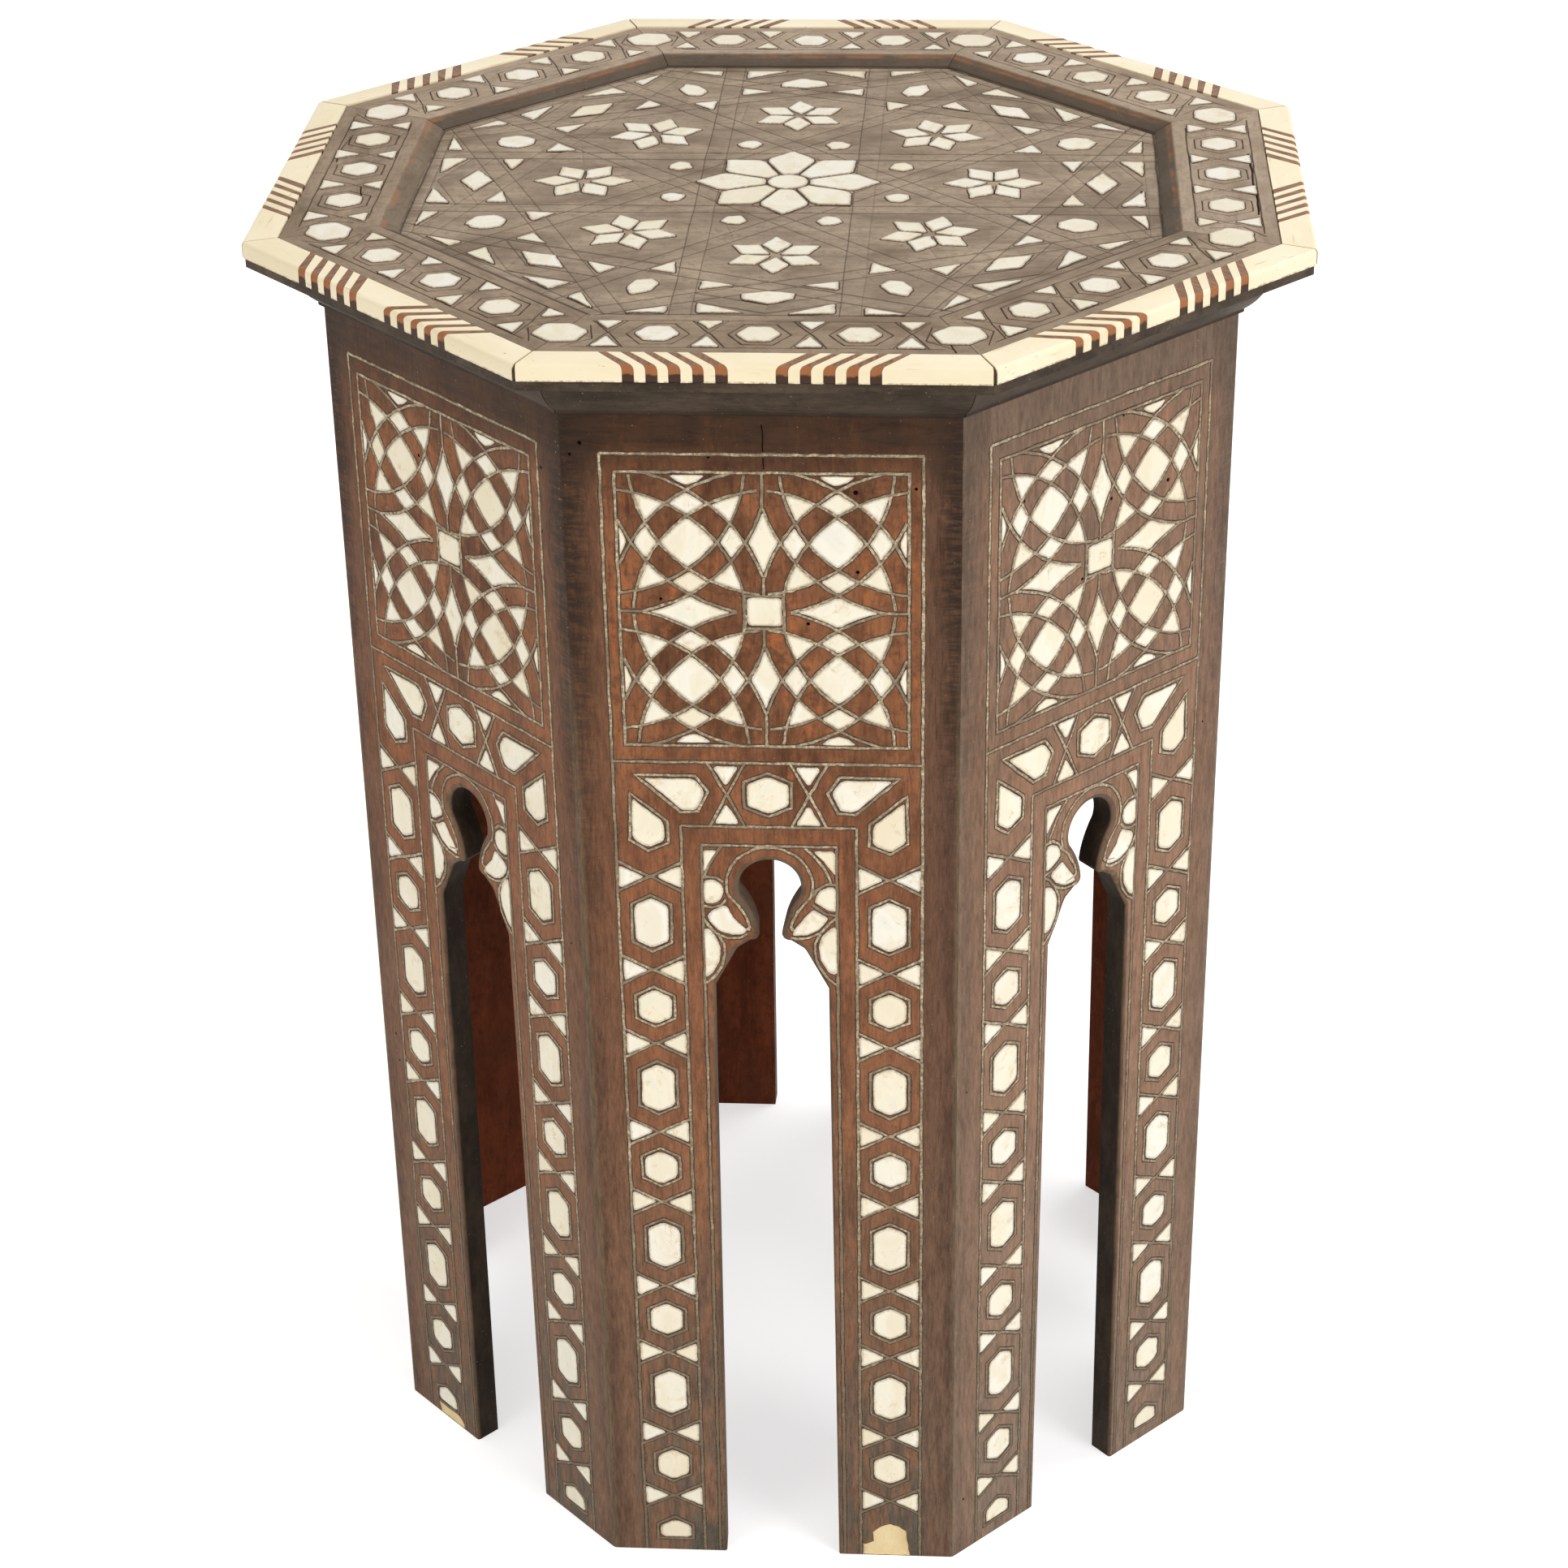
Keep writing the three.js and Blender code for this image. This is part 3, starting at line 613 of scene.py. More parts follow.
def stripe_look():
    look = Look("dark_stripe_wood", 0.25)
    move = look.scattered()
    grain = look.noise(look.mapped((1, 0.12, 0.12), move), 700, 4, 0.65)
    look.colour = look.ramp(grain, [(0.3, (96, 66, 48)), (0.5, (134, 98, 72)), (0.7, (158, 118, 88))])
    # The outer face is redder, and black below
    outer = look.level(look.axis("Y"), -0.1796, -0.1806)
    look.cover((164, 103, 60), outer, 0.85)
    ragged = look.noise(look.mapped(move=move), 420, 3, 0.6)
    height = look.math("ADD", look.axis("Z"), look.times(ragged, 0.0022))
    look.cover((42, 28, 20), outer, look.level(height, 0.4986, 0.4979), 0.92)
    return look.finish(grain, 0.5, 0.55)


def wire_look():
    look = Look("tarnished_wire", 0.3)
    spots = look.noise(look.mapped(), 800, 4, 0.7)
    broad = look.noise(look.mapped(), 70, 4, 0.65)
    look.colour = look.ramp(spots, [(0.34, (116, 101, 81)), (0.5, (166, 149, 121)), (0.64, (220, 203, 172))])
    dull = look.math("ADD", broad, look.times(look.attribute("tint"), 0.22))
    look.cover((124, 106, 84), look.level(dull, 0.52, 0.7, 0, 0.85))
    look.cover((82, 62, 46), look.level(broad, 0.36, 0.27, 0, 0.8))
    look.cover((104, 92, 72), look.level(look.axis("Z"), 0.2, 0.05, 0, 0.75))
    return look.finish(spots, 0.6, 0.6)


def mastic_look():
    look = Look("dark_mastic", 0.2)
    spots = look.noise(look.mapped(), 900, 4, 0.7)
    look.colour = look.ramp(spots, [(0.35, (52, 38, 29)), (0.6, (98, 76, 58))])
    return look.finish(spots, 0.6, 0.75)


FRONT_WOOD, SIDE_WOOD = side_wood("front_side_wood", 0.4), side_wood("side_wood", 0.0)
# The edge wood of the arch takes painted shade deep inside the opening
EDGE_WOOD = Wood("arch_edge_wood", (72, 56, 44), (110, 88, 70), (136, 110, 86), 2, 0.6).dirty(
    (120, 102, 84)).aged(arch_shade_tone=(44, 36, 29))
INNER_WOOD = Wood("inner_wood", (94, 48, 29), (130, 69, 44), (156, 85, 53), 2, 0.75).dirty((110, 66, 46)).aged()
TOP_WOOD, SHEEN_TOP_WOOD = top_wood("top_wood", 1), top_wood("top_wood_painted_sheen", 19)
FIELD_WOOD = Wood("field_wood", (124, 106, 88), (164, 146, 126), (182, 163, 140), 0, 0.68, 0.25).dirty(
    (128, 112, 95)).aged((80, 66, 54))
CORNICE_WOOD = Wood("cornice_wood", (46, 38, 31), (74, 62, 51), (98, 83, 67), 0).dirty((86, 75, 64)).aged()
PALE_WOOD = Wood("bare_pale_wood", (236, 208, 156), (250, 230, 182), (252, 236, 196), 2, 0.7).dirty(
    (238, 214, 168)).aged()
# The shells of the top take a darker copy of the shell look: painted shade against the top lamp
SHELL, SHADED_TOP_SHELL = shell_look("mother_of_pearl", 1), shell_look("top_mother_of_pearl_painted_shade", 0.95)
BONE, STRIPE, WIRE, MASTIC = bone_look(), stripe_look(), wire_look(), mastic_look()


# Side panels with their keyhole arches


def keyhole(grow, head=10.8, middle=297.4, nose=271.8):
    """The opening from its right foot over the crown to its left foot."""
    leg = grow * 0.45
    half = [(21.58 + leg, 0), (20.8 + leg, 128), (20 + leg, 256.5 + leg),
            (12.2 + grow, nose + grow / 2), (11.4 + grow * 0.8, nose + 1.1 + grow * 0.75),
            (10.6 + grow / 2, nose + 1.6 + grow)]
    half += arc(6.5 + grow / 2, nose + 6.8, max(0.4, 2.6 - grow / 2), 280, 168, 8)
    head += grow
    a, c = half[-1], polar(head, radians(-18), 0, middle)
    b = ((a[0] + c[0]) / 2 - 2.2, (a[1] + c[1]) / 2)
    for k in range(1, 8):
        t = k / 8
        half.append(tuple((1 - t) ** 2 * p + 2 * t * (1 - t) * q + t * t * r for p, q, r in zip(a, b, c)))
    half += arc(0, middle, head, -18, 90, 20)
    return half + mirrored(half[:-1])[::-1]


# How deep and how wide the arris round the arch is worn
ARCH_ARRIS = (1.1, 1.8)


def wear(corner, z):
    """Radius of the worn arris between two sides, the same for both of them."""
    c = corner % SIDES
    return 2.0 + 0.35 * sin(z / 53 + c * 1.7) + 0.2 * sin(z / 17.3 + c * 2.9)


def panel_ring(side, apothem, grow, edge=None):
    """A ring round a panel as (x, height, apothem); edge runs from 1 at the mitre to 0 on the face."""
    ring = [(x, y, apothem) for x, y in keyhole(grow)]
    heights = [PANEL_TOP * k / 40 for k in range(41)]
    for hand in STEPS:
        for z in heights[::-hand]:
            x, a = PANEL_BACK * SLOPE, PANEL_BACK
            if edge is not None:
                radius = wear(side if hand > 0 else side - 1, z)
                a, x = polar(radius, HALF_TURN * edge, PANEL - radius, (PANEL - radius) * SLOPE)
            ring.append((hand * (x - 0.02), z, a))
    return ring


# Wormholes of the front as (x, distance below the top of the pattern, radius)
FRONT_WORMHOLES = [(-17, 15.5, 0.6), (30.5, 27.5, 0.9), (50, 26, 0.6), (-4.5, 43, 0.4),
                   (31, 56, 0.7), (-34, 66.5, 0.6), (14.5, 75, 0.7), (-62, 15, 0.6), (-58.6, 11, 0.8)]
# Broken-out places at the foot, by side
CHIPS = {
    0: [(28.8, 6.4), (32, 5.2), (35, 6.9), (34.7, 11.4), (37.6, 14), (41.2, 15.6), (44.6, 14.2), (47.2, 12),
        (47.6, 8), (48.2, 3.5), (48.8, 0.4), (40, 0.4), (29.4, 0.4)],
    7: [(-47.8, 6.2), (-41, 5.4), (-36, 6.2), (-32, 3.5), (-29, 0.4), (-46, 0.4)],
}
# How much painted sheen lies on a side, and how much painted shade inside the cut through its board; the other sides
# draw theirs
PAINTED_SHEEN = {0: 0.5, 1: 1.0, 7: 0.55}
ARCH_SHADE = {0: 0.15, 1: 0.97, 7: 0.97}


def side_panel(side):
    rng = random.Random(300 + side)
    shape = Shape()

    def anywhere(low, high):
        return rng.choice(STEPS) * rng.uniform(low, high)

    spots = [(x, PATTERN_TOP - d, r) for x, d, r in FRONT_WORMHOLES]
    if side:
        spots = [(anywhere(3, 58), rng.uniform(345, 462), rng.uniform(0.4, 0.8)) for _ in range(rng.randint(3, 6))]
        spots += [(anywhere(54.5, 61), rng.uniform(20, 330), rng.uniform(0.4, 0.6)) for _ in range(3)]
    rings = [panel_ring(side, PANEL_BACK, 0.6)]
    for step in range(5):
        t = pi / 8 * step
        rings.append(panel_ring(side, PANEL - ARCH_ARRIS[0] * (1 - sin(t)), ARCH_ARRIS[1] * (1 - cos(t)), 1 - step / 4))
    front = [(x, y) for x, y, a in rings[-1]]
    holes = []
    for x, y, radius in spots:
        hole = [(x + radius * cos(a) * rng.uniform(0.85, 1.1), y + radius * sin(a))
                for a in [tau * k / 9 for k in range(9)]]
        holes.append(hole)
        bottom = [(x + (px - x) * 0.3, y + (py - y) * 0.3) for px, py in hole]
        shape.hollow([laid(hole, on_side, 0), laid(hole, on_side, -1.6), laid(bottom, on_side, -2.4)], 3)
    if side in CHIPS:
        chip = anticlockwise(uneven(refined(CHIPS[side], 1.6, closed=True), 0.16, rng))
        holes.append(chip)
        shape.hollow([laid(chip, on_side, 0), laid(offset(chip, -0.25), on_side, -0.55)], 4)
    grooves = []
    if side == 0:
        crack = uneven(refined([(0.4, 470), (0.8, 454.5)], 2.5), 0.15, rng)
        grooves.append((crack, 0.45, 0.7))
    for _ in range(5):
        x, z = anywhere(54, 60), rng.uniform(30, 440)
        scratch = refined([(x, z), (x + rng.uniform(-2, 2), z + rng.uniform(6, 22))], 4)
        grooves.append((uneven(scratch, 0.1, rng), 0.22, 0.1))
    shape.carve(front, on_side, grooves, holes)
    # The arch takes the darker edge wood, and what faces inwards the bare inner wood
    size, arch, wall = len(front), len(keyhole(0)) - 1, len(shape.points)
    start = len(shape.faces)
    rings = [[on_side(x, y, a - PANEL) for x, y, a in ring] for ring in rings]
    shape.loft(rings, 0, caps=False)
    for first in range(start, len(shape.faces), size):
        shape.looks[first:first + arch] = [1] * arch
    shape.add(rings[0], [list(range(size))], 2)
    # The tint carries the painted sheen of the face
    shape.tints = [PAINTED_SHEEN.get(side, rng.uniform(0.4, 0.9))] * len(shape.points)
    # Painted shade at the back of the arch, light on the front side
    arch_shade = ARCH_SHADE.get(side, rng.uniform(0.5, 0.95))
    for start in (wall, wall + size, len(shape.points) - size):
        shape.tints[start:start + arch + 1] = [arch_shade] * (arch + 1)
    face = SIDE_WOOD if side else FRONT_WOOD
    shape.make("side_panel_wood", [face, EDGE_WOOD, INNER_WOOD, MASTIC, PALE_WOOD], side, "side_wood",
               "side_panel", weld=True)


# Shell and wire inlay of a side

# The lattice is drawn with circles round the corners of a square about each knot
KNOT = 28
INNER_CIRCLE, OUTER_CIRCLE = 46.8, 54.5
KNOT_PITCH = (49, 50.4)
LATTICE_FRAME = (47.8, 50.2)
DIAGONALS = [(sx, sz) for sx in STEPS for sz in STEPS]


def knot_shells():
    """Shell pieces of one knot of the lattice, drawn round its own middle."""
    def bounded(circles, tips, count):
        return arc_piece([(KNOT * x, KNOT * y, radius) for x, y, radius in circles], tips, count)

    inner, outer, full = INNER_CIRCLE - 0.35, OUTER_CIRCLE + 0.35, INNER_CIRCLE - 0.45
    thin, thick = INNER_CIRCLE + 0.6, OUTER_CIRCLE - 0.6
    pieces = [bounded([(-1, -1, full), (1, -1, full), (1, 1, full), (-1, 1, full)],
                      [(0, 14), (-14, 0), (0, -14), (14, 0)], 5)]
    triangle = bounded([(-1, -1, outer), (1, -1, inner), (-1, 1, inner)], [(7, 28), (28, 28), (28, 7)], 4)
    small = bounded([(-1, 1, thin), (-1, -1, thick), (-1, 1, thick), (-1, -1, thin)],
                    [(14, 5), (19, 0), (14, -5), (9, 0)], 3)
    for k in range(4):
        pieces += [turned(triangle, k * pi / 2), turned(small, k * pi / 2)]
    return pieces


def pointed_lozenge(pitch):
    far, radius = KNOT + pitch / 2, OUTER_CIRCLE + 0.6
    return arc_piece([(-far, KNOT, radius), (far, KNOT, radius), (far, -KNOT, radius), (-far, -KNOT, radius)],
                     [(0, 0)] * 4, 4)


def lattice():
    """Shells, open wires and closed wires of the square lattice, round its middle."""
    px, pz = KNOT_PITCH
    over = [(-6.2, 24), (-3.4, 21.8), (0, 20.4), (3.4, 21.8), (6.2, 24)]
    beside = [(22.5, -5.6), (22.5, 5.6), (21.2, 2.8), (20.2, 0), (21.2, -2.8)]
    shells = [rectangle(5.8, 5.2)]
    for sx in STEPS:
        for sz in STEPS:
            shells += [shifted(p, sx * px / 2, sz * pz / 2) for p in knot_shells()]
        shells.append(shifted(pointed_lozenge(px), 0, sx * pz / 2))
        shells.append(shifted(turned(pointed_lozenge(pz), pi / 2), sx * px / 2, 0))
        for sz in STEPS:
            shells.append([(sx * px / 2 + x, sz * (pz / 2 + y)) for x, y in over])
            shells.append([(sx * (px / 2 + x), sz * pz / 2 + y) for x, y in beside])
    wires = []
    width, height = LATTICE_FRAME
    for cx, cz in DIAGONALS:
        for radius in (INNER_CIRCLE, OUTER_CIRCLE):
            circle = arc(px / 2 + KNOT * cx, pz / 2 + KNOT * cz, radius, 0, 360, 150)
            # A circle on the left starts where it is out of sight
            circle = circle[37:] + circle[1:38] if cx < 0 else circle
            for run in clipped(circle, (-0.1, -0.1), (width + 0.1, height + 0.1)):
                wires += [[(sx * x, sz * y) for x, y in run] for sx, sz in DIAGONALS]
    for s in STEPS:
        wires += [[(0, s * 37.4), (0, s * height)], [(s * 39.2, 0), (s * width, 0)], [(0, s * 12.8), (0, s * 6)]]
    return shells, wires, [rectangle(*LATTICE_FRAME), rectangle(6.6, 6)]


# The rest of the pattern of a side, as (x, distance below the top of the pattern)
FRAME, FRAME_TOP = 52.5, 14.5
STRIP = 41.2
STRIP_INNER, STRIP_TOP = 30, 152.5
HOOD, HOOD_TOP = 23.2, 160
BAND_TOP, BAND_MIDDLE, BAND_KNOT = 127.7, 140, 14
FOOT = 473.6
BAND_SHELLS = [
    [(-42.5, 133.8), (-25, 133.8), (-21.5, 139), (-24.5, 145.8), (-29.5, 146.2)],
    [(-46.2, 142), (-35.4, 151.3), (-35.4, 158.8), (-41.5, 161.6), (-46.6, 157.8)],
]
SPANDREL_SHELLS = [
    [(-22.7, 161.7), (-17.2, 161.7), (-19.4, 164.6), (-21.3, 168), (-22.7, 170.6)],
    [(-22.8, 173.6), (-18.6, 173.8), (-16.3, 176.1), (-16, 179.5), (-17.3, 182.3), (-20.4, 183.4), (-22.8, 182.8)],
    [(-22.2, 187.3), (-15.4, 183.4), (-13.1, 188.6), (-8.2, 194), (-9.2, 195.5), (-14.3, 195.8), (-18.5, 194),
     (-21.2, 190.6)],
    [(-23, 193.1), (-21, 193.2), (-18.9, 196.2), (-17.3, 200.9), (-17.9, 206.5), (-20.5, 211.5), (-23, 213.6)],
    [(14.9, 161.7), (22.7, 161.7), (22.7, 171.6), (20.9, 169), (18.5, 165.7)],
    [(17.4, 177.6), (19.8, 176.1), (22.8, 176.1), (22.8, 186.2), (20, 185.5), (15.4, 182.4), (16, 179.5)],
    [(7.5, 195.7), (8.2, 193), (14.5, 184.6), (20.4, 188.1), (17.3, 192.6), (12.6, 195.2)],
    [(22.9, 192), (20.5, 192.7), (17.8, 195.8), (16.5, 200.1), (17.2, 205.7), (20, 210.9), (22.9, 211.6)],
]
SPANDREL_WIRES = [
    [(-16.4, 160.4), (-18.8, 163.9), (-20.9, 168), (-22.1, 171.6), (-22.4, 173)],
    [(-23, 172.4), (-18.4, 172.6), (-16, 174.6)],
    [(-15.2, 181.4), (-17, 183.7), (-20.2, 184.8), (-23, 184.3)],
    [(-23, 189.2), (-21.6, 192), (-19, 195.1), (-14.8, 197), (-10.2, 196.9), (-8, 195.2)],
    [(-18.4, 195.6), (-16.3, 199.6), (-16, 203.6), (-17, 208.4), (-19.8, 213), (-23, 215.6)],
    [(12.4, 160.5), (16.1, 164.4), (18.9, 168.8), (20.7, 173), (21.2, 175.2)],
    [(23, 174.9), (19.4, 174.9), (16.2, 177.1), (15, 179.8)],
    [(14.6, 183.2), (19.4, 186.8), (23, 187.3)],
    [(6.9, 196.5), (9.5, 197), (13, 196.6), (17.6, 194.3), (20.7, 190), (23, 188.3)],
    [(17.6, 194.7), (15.6, 198.6), (15.3, 202.6), (16.6, 207.6), (19.7, 212.9), (23, 215.8)],
]
BOWTIES = [172.8, 210.6, 241.4, 279.2, 310, 347.8, 378.6, 416.4, 447.2]
LONG_HEXAGONS = [191.7, 260.3, 328.9, 397.5]
SHORT_HEXAGONS = [226, 294.6, 363.2, 431.8]
FOOT_SHELL = [(-5.9, 7.4), (5.9, 7.4), (5.9, 2), (0, -1.2), (-5.9, 2)]


def side_pattern(side):
    """Shells, open wires and closed wires of one side, as (x, height) outlines."""
    shells, wires, ringed = [], [], BAND_SHELLS + [mirrored(p) for p in BAND_SHELLS]
    for sx in STEPS:
        x, strip = sx * BAND_KNOT, sx * STRIP
        shells += [[(x - 4.6, end), (x + 4.6, end), (x, tip)] for end, tip in ((129, 136.8), (151.7, 143.6))]
        wires += [[(x - s * 6.2, 128), (x - s * 0.5, 139.4), (x + s * 0.5, 141), (x + s * 6, 152.4)] for s in (1, -1)]
        ringed += [shifted(hexagon(5.9, 10.2, 7.1), strip, d) for d in LONG_HEXAGONS]
        ringed += [shifted(hexagon(5.9, 7.2, 4.1), strip, d) for d in SHORT_HEXAGONS]
        ringed.append(shifted(FOOT_SHELL, strip, 460))
        for d in BOWTIES:
            for s in STEPS:
                base = strip + s * 10.6
                shells.append([(base, d - 4.7), (base, d + 4.7), (strip + s * 1.6, d)])
                wires.append([(strip + s * 11.2, d - 6), (strip + s, d - 0.4),
                              (strip - s, d + 0.4), (strip - s * 11.2, d + 6)])
        wires += [[(sx * STRIP_INNER, STRIP_TOP), (sx * STRIP_INNER, FOOT)],
                  [(sx * HOOD, HOOD_TOP), (sx * HOOD, 218), (sx * 24, FOOT)],
                  [(sx * FRAME, FRAME_TOP), (sx * FRAME, FOOT)]]
    flip = mirrored if side % 2 else list
    shells += [flip(p) for p in SPANDREL_SHELLS]
    wires += [flip(p) for p in SPANDREL_WIRES]
    wires += [[(-x, d), (x, d)] for x, d in
              ((FRAME, FRAME_TOP), (FRAME, BAND_TOP), (STRIP_INNER, STRIP_TOP), (HOOD, HOOD_TOP))]

    def upwards(lines):
        return [[(x, PATTERN_TOP - d) for x, d in line] for line in lines]

    hood = keyhole(3.3, 11.6, 298.5, 274.8)
    first = next(i for i, (x, y) in enumerate(hood) if y > 279)
    ringed = [shifted(hexagon(7.1, 7.3, 4.2), 0, PATTERN_TOP - BAND_MIDDLE)] + upwards(ringed)
    pieces, arcs, loops = ([shifted(line, 0, LATTICE) for line in lines] for lines in lattice())
    return (pieces + upwards(shells) + ringed, arcs + upwards(wires) + [hood[first:len(hood) - first]],
            loops + [offset(p, 1.0) for p in ringed])


WIRE_WIDTHS, MASTIC_WIDTHS = (0.85, 1.3), (1.5, 1.85)


def side_inlay(side):
    rng = random.Random(500 + side)
    shells, wires, loops = side_pattern(side)
    shell, line = Shape(), Shape()

    def kept(outlines):
        return [p for p in outlines if side not in CHIPS or not inside(*middle_of(p), CHIPS[side])]

    for outline in kept(shells):
        outline = handmade(misplaced(outline, 0.25, rng), 1.5, 2.6, 0.13, rng)
        shell.plate(outline, on_side, 0.12 + rng.uniform(-0.03, 0.06), soft=0.16, tint=rng.random())
        line.bed(outline, on_side, 0.32, 0.03, look=1)
    paths = [(w, False) for w in kept(wires)] + [(w, True) for w in kept(loops)]
    for count, (path, closed) in enumerate(paths):
        path = uneven(refined(path, 3.2, closed), 0.16, rng)
        # Wires that cross differ a little in height
        lift = 0.0009 * (count % 40)
        line.ribbon(path, on_side, [rng.uniform(*MASTIC_WIDTHS) for _ in path], 0.05 + lift, closed, look=1, crown=0.8)
        width = [rng.uniform(*WIRE_WIDTHS) for _ in path]
        # Those along the leg gap are the dullest
        dull = 1.0 if abs(path[0][0]) < 24.5 and path[-1][1] < 10 else rng.uniform(0, 0.75)
        line.ribbon(path, on_side, width, 0.13 + lift, closed, tint=dull)
    shell.make("side_shell_inlay", [SHELL], side, "shell")
    line.make("side_wire_inlay", [WIRE, MASTIC], side)


# Cornice, bone edging and border rails, each a bar mitred to its neighbours


def bar(shape, profile, look=0, inset=0.0):
    """A bar along one side; its profile is (apothem, height)."""
    shape.loft([[(hand * (reach(a) - inset), -a, z) for a, z in profile] for hand in STEPS], look)


def cornice(side):
    back, front, foot = PANEL + 0.3, PANEL + 11.3, PANEL_TOP - 2.4
    low, high = (back + 1.4, CORNICE_BOTTOM + 1.4), (front - 1, foot)
    profile = [(back, PANEL_TOP), (back, CORNICE_BOTTOM), (back + 0.9, CORNICE_BOTTOM),
               (low[0], CORNICE_BOTTOM + 0.4), low]
    ox, oz = unit(high[1] - low[1], low[0] - high[0])
    for k in range(1, 17):
        bulge = 4 * k / 16 * (1 - k / 16) * COVE
        x, z = between(low, high, k, 16)
        profile.append((x + ox * bulge, z + oz * bulge))
    profile += [(front - 0.4, foot), (front, foot + 0.4), (front, PANEL_TOP - 0.3), (front - 0.3, PANEL_TOP)]
    shape = Shape()
    bar(shape, profile)
    # Painted shade along the foot against the panel and under the upper lip, below the overhanging bone
    shape.edges = ([0.0, 0.9, 0.9, 0.7, 0.35] + [0.0] * 13 + [0.2, 0.6, 0.9] + [0.9, 0.5, 0.4, 0.2]) * 2
    shape.make("cornice", [CORNICE_WOOD], side, "cornice_wood", "cornice_moulding")


def bone_section(lower):
    """Outline of the edging across its width, with a rounded upper arris."""
    outer, top, inner, foot = TOP - lower, HEIGHT - lower, BONE_INNER + lower, BONE_BOTTOM + lower
    return [(outer, foot), (outer, top - BONE_ARRIS),
            *arc(outer - BONE_ARRIS, top - BONE_ARRIS, BONE_ARRIS, 22, 68, 2),
            (outer - BONE_ARRIS, top), (inner, top), (inner, foot)]


# Places of the slanting stripes, counted from the middle of the side
FIRST_STRIPE, STRIPE_PITCH, STRIPE_SLANT = 9.35, 7.3, 9.6


def bone_edging(side):
    rng = random.Random(700 + side)
    plates, stripes = Shape(), Shape()
    shift = rng.uniform(-0.8, 0.8)
    slant = STRIPE_SLANT + rng.uniform(-0.6, 0.6)
    # Each cut has its place and half width at the outer edge, and its half width at the inner edge
    cuts = [(FIRST_STRIPE + STRIPE_PITCH * k, hand * (1.9 + rng.uniform(-0.15, 0.15)),
             hand * ((1.5 if k else 2.1) + rng.uniform(-0.15, 0.15))) for k in range(5) for hand in STEPS]

    def mitre(hand):
        """The end at the mitre, worn open at the outside."""
        return lambda a: hand * (a * SLOPE - 0.36 - 0.4 * max(0, (a - TOP + 2.4) / 2.4) ** 2)

    def edge(cut, hand, gap=0):
        def place(a):
            share = min(1.0, (TOP - a) / BONE_WIDTH)
            half = cut[1] + (cut[2] - cut[1]) * share
            return hand * (cut[0] + half + gap + slant * share) + shift
        return place

    def piece(shape, low, high, lower=0):
        tint = rng.random()
        section = bone_section(lower)
        rows = [[(bound(a), -a, z) for a, z in section] for bound in (low, high)]
        count = max(1, round(abs(rows[1][1][0] - rows[0][1][0]) / 6))
        rows = [[between(p, q, k, count) for p, q in zip(*rows)] for k in range(count + 1)]
        shape.loft([[(x, y + rng.uniform(0, 0.06), z - rng.uniform(0, 0.06)) for x, y, z in row] for row in rows],
                   0, tint)

    piece(plates, edge(cuts[0], -1, -BONE_JOINT), edge(cuts[0], 1, -BONE_JOINT))
    for hand in STEPS:
        for k in range(5):
            piece(stripes, edge(cuts[2 * k], hand), edge(cuts[2 * k + 1], hand), 0.16)
            if k < 4:
                piece(plates, edge(cuts[2 * k + 1], hand, BONE_JOINT), edge(cuts[2 * k + 2], hand, -BONE_JOINT))
        piece(plates, edge(cuts[9], hand, BONE_JOINT), mitre(hand))
    plates.make("bone_plates", [BONE], side, "bone", "bone_edging")
    inner, foot, top = BONE_INNER + 0.3, BONE_BOTTOM + 0.3, HEIGHT - 0.5
    bar(stripes, [(TOP - 0.5, foot), (TOP - 0.5, HEIGHT - 2), (TOP - 2.1, top), (inner, top), (inner, foot)], 1, -0.12)
    stripes.make("bone_stripes", [STRIPE, MASTIC], side, "bone")


# The inlay of a rail is set out about its middle line
RAIL_MIDDLE = 153.5
RAIL_PITCH = 32.3
RAIL_LINES = (142.2, 164.8)
CORNER_RING = 11.6
# Width and depth of a scored line, and depth of a split
SCORED = (0.75, 0.4)
SPLIT_DEPTH = 1.3
# Splits that have opened along the inlay of two rails, and at a mitre of the front one
RAIL_SPLITS = {
    2: [([(-41, -163.8), (-24, -164.2), (-9, -163.6), (4, -164), (22, -163.4)], 0.9)],
    6: [([(-34, -162.6), (-20, -163.8), (-8, -163)], 0.8), ([(18, -150), (27, -148.4)], 0.6)],
    0: [([(62.6, -167.6), (60.6, -160.4), (57.4, -156.6)], 0.8)],
}


def rail_grooves(side, hexes, knots, rng):
    """Scored lines of a rail: rings round the shells, crossings, edges and rings round the corners."""
    lines = [ring + ring[:1] for ring in (offset(line, 2.5) for line in hexes)]
    lines += [[(x + s * 5.8, -164.6), (x + s * 0.9, -153.6), (x - s * 0.4, -151.6), (x - s * 5.6, -142.4)]
              for x in knots for s in STEPS]
    lines += [[(hand * (reach(a) - 9), -a) for hand in STEPS] for a in RAIL_LINES]
    for hand in STEPS:
        ring = [polar(CORNER_RING, radians(22.5 * hand + 60 * j), hand * 63.6, -RAIL_MIDDLE) for j in range(6)]
        ring = sorted((p for p in ring if abs(p[0]) < reach(-p[1]) - 0.6), key=lambda p: p[1])
        lines += [ring] if len(ring) > 1 else []
    marks = [(line, width, SPLIT_DEPTH) for line, width in RAIL_SPLITS.get(side, [])]
    marks += [(line, *SCORED) for line in lines]
    return [(uneven(refined(line, 6), 0.16, rng), width * rng.uniform(0.8, 1.2), depth)
            for line, width, depth in marks]


